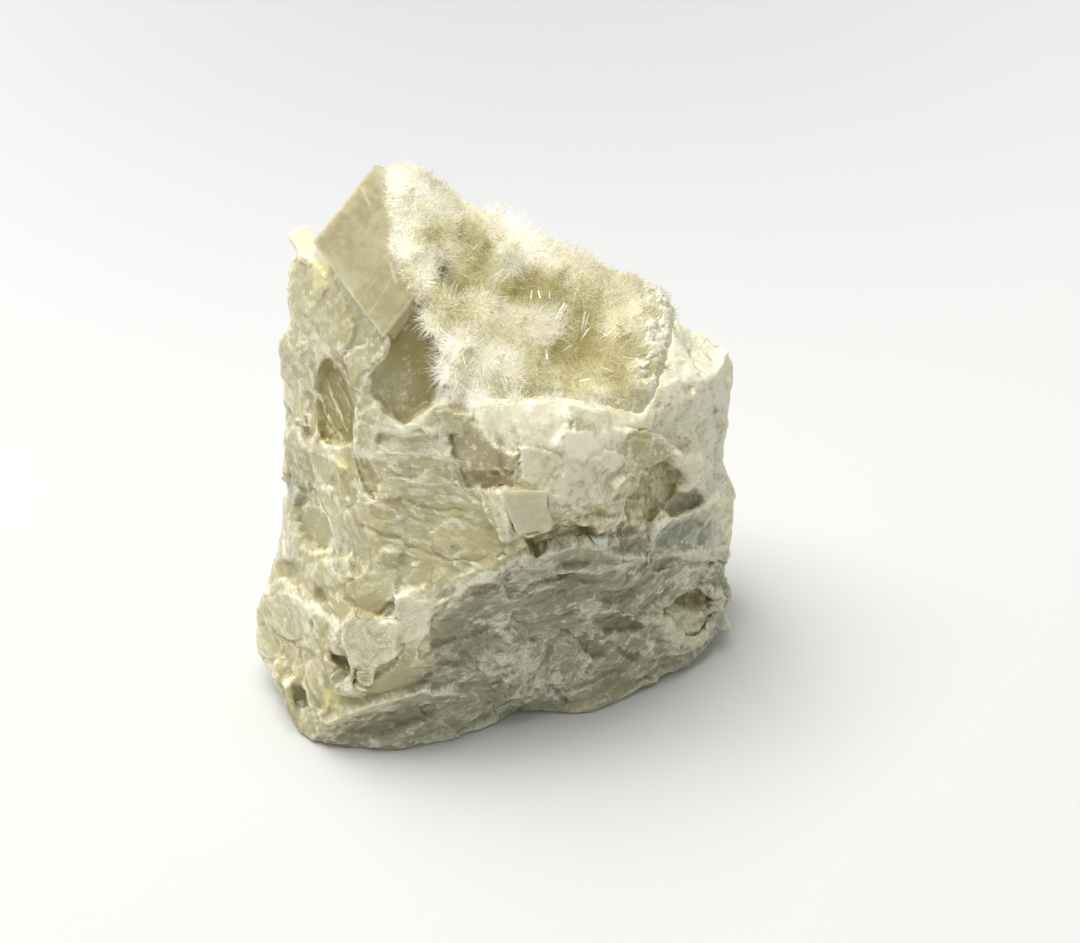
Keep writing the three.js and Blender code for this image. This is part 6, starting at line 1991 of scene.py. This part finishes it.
@dataclass
class Druse:
    """The crust of aragonite needles in the hollow.

    Attributes:
        rock: the rock around it.
        voxel: the size of the bed's faces, in millimetres.
        fill: how many small sprays fill the bed between the large ones.
        fill_needles: how many needles each of them has.
        pieces: how many pieces the small sprays are shared out to.
        rim: how far the small sprays reach over the rock around the bed, in millimetres.
        thick: half the thickness of a fine needle, in millimetres.
        seam: the widest gap to the rock that the bed's border closes, in millimetres.
        overlap: how deep the border then lies in the rock, in millimetres.
        border: the places across between which the needles give way to sugary calcite.
        heap: the height of the bed's tufts, and sugar_heap that of its sugary lumps, in millimetres.
        facing: how far outward a place must face for a small spray, in millimetres from the heart.
        on_bed: the share of the small sprays that stand on the bed; the others stand on the rim.
        thinned: the share of the small sprays that the sugary calcite leaves out.
    """

    rock: CalciteRock
    voxel: float = 0.5
    fill: int = 3400
    fill_needles: int = 30
    pieces: int = 2
    rim: float = 2.6
    thick: float = 0.038
    seam: float = 1.2
    overlap: float = 0.15
    border: Pair = (13.0, 18.0)
    heap: float = 0.45
    sugar_heap: float = 0.35
    facing: float = 8.0
    on_bed: float = 0.8
    thinned: float = 0.65
    skin: Skin = field(init=False)

    def bed(self, finish: CrustFinish) -> Object:
        """Makes the bed under the needles: felt heaped in tufts, and sugary lumps at one end.

        Args:
            finish: its finish.

        Returns:
            The piece.
        """
        piece = remeshed(CRUST_NODE, "needle_bed", self.voxel)
        largest_only(piece)
        self.skin = Skin(piece)
        self.skin.points = self.skin.blurred(self.skin.points, 6)
        points, normals = self.skin.points, self.skin.normals()
        sugar = self.sugary(points)
        heaped = self.heap * swell(points, 4.5, 40, 3) + 0.55
        heaped += self.sugar_heap * sugar * (outcrops(points / 2.2, 41) + 0.6)
        heaped += 0.2 * sugar * outcrops(points / 1.1, 42)
        self.skin.points = points + heaped[:, None] * normals
        self.grow_to_rock()
        self.skin.points = held_in_box(self.skin.points)
        self.skin.write()
        # the bed is painted a little darker than its needles, as the shade under them
        self.skin.store("pale", self.paleness(self.skin.points) - 0.15)
        self.skin.store("sugar", sugar)
        dressed(piece, finish.made())
        # the bed is as clear as its needles, and lets the light through
        piece.visible_shadow = False
        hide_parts(CRUST_NODE)
        return piece

    def grow_to_rock(self) -> None:
        """Draws the bed's border out until it meets the rock."""
        tree = self.rock.skin.tree()
        for i, point in enumerate(self.skin.points):
            spot, *_, away = tree.find_nearest(Vector(point), self.seam)
            if spot is not None and away > 1e-6:
                self.skin.points[i] += (np.array(spot) - point) * (1 + self.overlap / away)

    def sugary(self, points: Array) -> Array:
        """How far each point is sugary calcite and not needles, from 0 to 1."""
        return eased(SIGHT.places(points)[:, 0] + 2.0 * swell(points, 3.5, 42, 2), *self.border)

    @staticmethod
    def paleness(points: Array) -> Array:
        """How white the needles are at each point: as the nearest large sprays are.

        Args:
            points: the points, in millimetres.

        Returns:
            From about 0 to 1 for each point.
        """
        places, reach = SIGHT.places(points), 2.6
        away = np.stack([((places - spray.at) ** 2).sum(axis=1) for spray in SPRAYS], axis=1)
        near = np.exp(-away / reach**2) + 1e-6
        pale = near @ np.array([s.pale for s in SPRAYS]) / near.sum(axis=1)
        return pale + 0.22 * swell(points, 3.0, 44, 2)

    def needles(self, finish: NeedleFinish) -> list[Object]:
        """Makes the large sprays, and the fleece of small ones between them.

        Args:
            finish: their finish.

        Returns:
            The pieces.
        """
        material = finish.made()
        trees = self.skin.tree(), self.rock.skin.tree()
        rng = np.random.default_rng(23)
        large = []
        for spray in SPRAYS:
            hits = [SIGHT.hit(tree, spray.at) for tree in trees]
            hit, normal, *_ = min(hits, key=lambda h: h[3] or math.inf)
            if hit is not None:
                count = int(0.7 * spray.count)
                large.append((np.array(hit), np.array(normal), 1.1 * spray.reach, count, spray.pale))
        made = [self.fanned("needle_sprays", large, rng)]
        spots, normals = self.seeds(rng)
        kept = rng.random(len(spots)) > self.thinned * self.sugary(spots)
        spots, normals = spots[kept], normals[kept]
        pales = self.paleness(spots) + rng.normal(0, 0.1, len(spots)) - 0.15
        reach = rng.uniform(0.9, 2.0, len(spots))
        group = [(spots[i], normals[i], reach[i], self.fill_needles, pales[i]) for i in range(len(spots))]
        for k in range(self.pieces):
            made.append(self.fanned(f"needle_fleece_{k + 1}", group[k :: self.pieces], rng))
        for piece in made:
            dressed(piece, material)
            # clear needles let the light through
            piece.visible_shadow = False
        return made

    def prisms(self, finish: GlassyFinish) -> Object:
        """Makes the large glassy prisms, in one mesh.

        Args:
            finish: their finish.

        Returns:
            The piece.
        """
        tree = self.skin.tree()
        feet, tips, wide = [], [], []
        for prism in PRISMS:
            foot, tip = (SIGHT.hit(tree, place)[0] for place in (prism.foot, prism.tip))
            if foot is None or tip is None:
                continue
            feet.append(np.array(foot) - 0.5 * SIGHT.toward)
            tips.append(np.array(tip) + prism.lift * SIGHT.toward)
            wide.append(prism.wide)
        feet, tips, wide = np.array(feet), np.array(tips), np.array(wide)[:, None]
        axes = tips - feet
        side, other = beside(unit(axes), np.arange(len(feet)) * 1.3)
        shape = bmesh.new()
        bmesh.ops.create_cone(shape, cap_ends=True, segments=6, radius1=0.5, radius2=0.42, depth=1.0)
        bmesh.ops.translate(shape, verts=shape.verts, vec=(0, 0, 0.5))
        frames = np.stack((side * wide, 0.55 * other * wide, axes), axis=1)
        piece = repeated("needle_prisms", shape, frames, feet, {"pale": np.ones(len(feet))})
        dressed(piece, finish.made())
        piece.visible_shadow = False
        return piece

    def seeds(self, rng: np.random.Generator) -> tuple[Array, Array]:
        """Where the small sprays stand: on the bed, and thinning out on the rock around it.

        Args:
            rng: the source of chance.

        Returns:
            The places, and the direction out of the surface at each.
        """
        normals = self.skin.normals()
        outward = ((self.skin.points - HEART) * normals).sum(axis=1) > self.facing
        count = int(self.on_bed * self.fill)
        on_bed = rng.choice(np.flatnonzero(outward), count, replace=False)
        rock = self.rock.skin
        tree = self.skin.tree()
        near = np.flatnonzero(self.rock.from_crust < self.rim)
        away = np.array([tree.find_nearest(Vector(rock.points[i]))[3] for i in near])
        rock_normals = rock.normals()
        shown = ((rock.points[near] - HEART) * rock_normals[near]).sum(axis=1) > self.facing
        chances = np.clip(1 - away / self.rim, 0, 1) * shown
        chances *= 0.5 + 0.5 * swell(rock.points[near], 4.0, 47, 2)
        on_rim = rng.choice(near, self.fill - count, replace=False, p=chances / chances.sum())
        return (np.concatenate((self.skin.points[on_bed], rock.points[on_rim])),
                np.concatenate((normals[on_bed], rock_normals[on_rim])))

    def fanned(self, name: str, group: list, rng: np.random.Generator) -> Object:
        """Makes all the needles of a group of sprays, in one mesh.

        Args:
            name: the piece.
            group: each spray's place, outward direction, reach, count and paleness.
            rng: the source of chance.

        Returns:
            The piece.
        """
        starts, axes, lengths, pales, faced = [], [], [], [], []
        for spot, normal, reach, count, pale in group:
            axis = unit(0.75 * normal + 0.3 * SIGHT.toward + 0.25 * rng.normal(size=3))
            way = unit(rng.normal(size=(count, 3)) + 1.3 * axis)
            way = way[way @ axis > 0.0]
            starts.append(spot - 0.3 * normal + rng.normal(0, 0.18 * reach, (len(way), 3)))
            axes.append(way)
            lengths.append(reach * rng.uniform(0.5, 1.0, len(way)))
            pales.append(np.full(len(way), pale) + rng.normal(0, 0.2, len(way)))
            faced.append(np.tile(unit(0.5 * normal + 0.3 * axis + UPWARD), (len(way), 1)))
        starts, axes, faced = np.concatenate(starts), np.concatenate(axes), np.concatenate(faced)
        lengths, pales = np.concatenate(lengths), np.concatenate(pales)
        tips = starts + axes * lengths[:, None]
        low, high = (np.array(c) / MM for c in CAD_BOX)
        kept = ((tips > low + 0.1) & (tips < high - 0.1)).all(axis=1)
        starts, axes, faced = starts[kept], axes[kept], faced[kept]
        lengths, pales = lengths[kept], pales[kept]
        side, other = beside(axes, rng.uniform(0, 2 * math.pi, len(axes)))
        thick = (self.thick * rng.uniform(0.6, 1.5, len(axes)))[:, None]
        shape = bmesh.new()
        bmesh.ops.create_cone(shape, cap_ends=True, segments=3, radius1=1.0, radius2=0.0, depth=1.0)
        bmesh.ops.translate(shape, verts=shape.verts, vec=(0, 0, 0.5))
        frames = np.stack((side * thick, other * thick, axes * lengths[:, None]), axis=1)
        LOG.info("%s: %d needles", name, len(starts))
        return repeated(name, shape, frames, starts, {"pale": pales}, faced)


# -------- the studio
@dataclass(frozen=True)
class Lamp:
    """A soft lamp.

    Attributes:
        name: the lamp.
        at: where it stands, in metres.
        size: the side of its panel, in metres.
        power: in watts.
    """

    name: str
    at: Triple
    size: float
    power: float


@dataclass
class Studio:
    """The floor, the lamps, the sky and the camera.

    Attributes:
        floor_size: the floor's side, in metres.
        sensor_mm, frame_mm: how wide the camera's sensor is, and its view at the aim.
        clip: the camera's nearest and farthest distance, in metres.
    """

    floor_size: float = 6.0
    sky: float = 0.41
    sky_tint: str = "#F4F7FA"
    sensor_mm: float = 36.0
    frame_mm: float = 166.15
    clip: Pair = (0.01, 20.0)
    lamps: tuple[Lamp, ...] = (Lamp("key", (-0.32, 0.215, 1.15), 1.1, 21.2),)

    def build(self) -> None:
        """Sets it all up."""
        scene = bpy.context.scene
        scene.view_settings.view_transform = "Standard"
        grown = bmesh.new()
        bmesh.ops.create_grid(grown, x_segments=1, y_segments=1, size=self.floor_size / 2)
        floor = meshed("floor", grown)
        floor.data.materials.append(PaperFinish().made())
        world = bpy.data.worlds.new("sky")
        scene.world = world
        world.use_nodes = True
        sky = world.node_tree.nodes["Background"].inputs
        sky["Color"].default_value = linear(self.sky_tint)
        sky["Strength"].default_value = self.sky
        for lamp in self.lamps:
            self.hang(lamp)
        self.look()

    @staticmethod
    def hang(lamp: Lamp) -> None:
        """Hangs one lamp, turned to the specimen.

        Args:
            lamp: the lamp.
        """
        data = bpy.data.lights.new(lamp.name, "AREA")
        data.shape = "SQUARE"
        data.size = lamp.size
        data.energy = lamp.power
        made = bpy.data.objects.new(lamp.name, data)
        bpy.context.scene.collection.objects.link(made)
        made.location = lamp.at
        aim = Vector(SIGHT.aim) * MM - Vector(lamp.at)
        made.rotation_euler = aim.to_track_quat("-Z", "Y").to_euler()

    def look(self) -> None:
        """Sets the camera at the eye."""
        data = bpy.data.cameras.new("camera")
        data.sensor_width = self.sensor_mm
        data.lens = self.sensor_mm * SIGHT.distance / self.frame_mm
        data.clip_start, data.clip_end = self.clip
        camera = bpy.data.objects.new("camera", data)
        bpy.context.scene.collection.objects.link(camera)
        camera.location = SIGHT.eye * MM
        camera.rotation_euler = Vector(-SIGHT.toward).to_track_quat("-Z", "Y").to_euler()
        bpy.context.scene.camera = camera


def main() -> None:
    """Builds the specimen, piece by piece, and the studio around it."""
    logging.basicConfig(level=logging.INFO, format="%(message)s")
    rock = CalciteRock()
    report(rock.build(CalciteFinish()))
    report(LARGE_RHOMB.build(ClearCalciteFinish()))
    solid = solid_tree(ROCK_NODE)
    for plate in PLATES:
        report(plate.build(solid, ClearCalciteFinish("pale_calcite", "#DBD6B2", "#E9E5CC", veil_mm=2.4)))
    druse = Druse(rock)
    report(druse.bed(CrustFinish()))
    for piece in druse.needles(NeedleFinish()):
        report(piece)
    report(druse.prisms(GlassyFinish()))
    Studio().build()


def report(piece: Object) -> None:
    """Logs a piece and how many faces it has."""
    LOG.info("%s: %d faces", piece.name, len(piece.data.polygons))


if __name__ == "__main__":
    main()
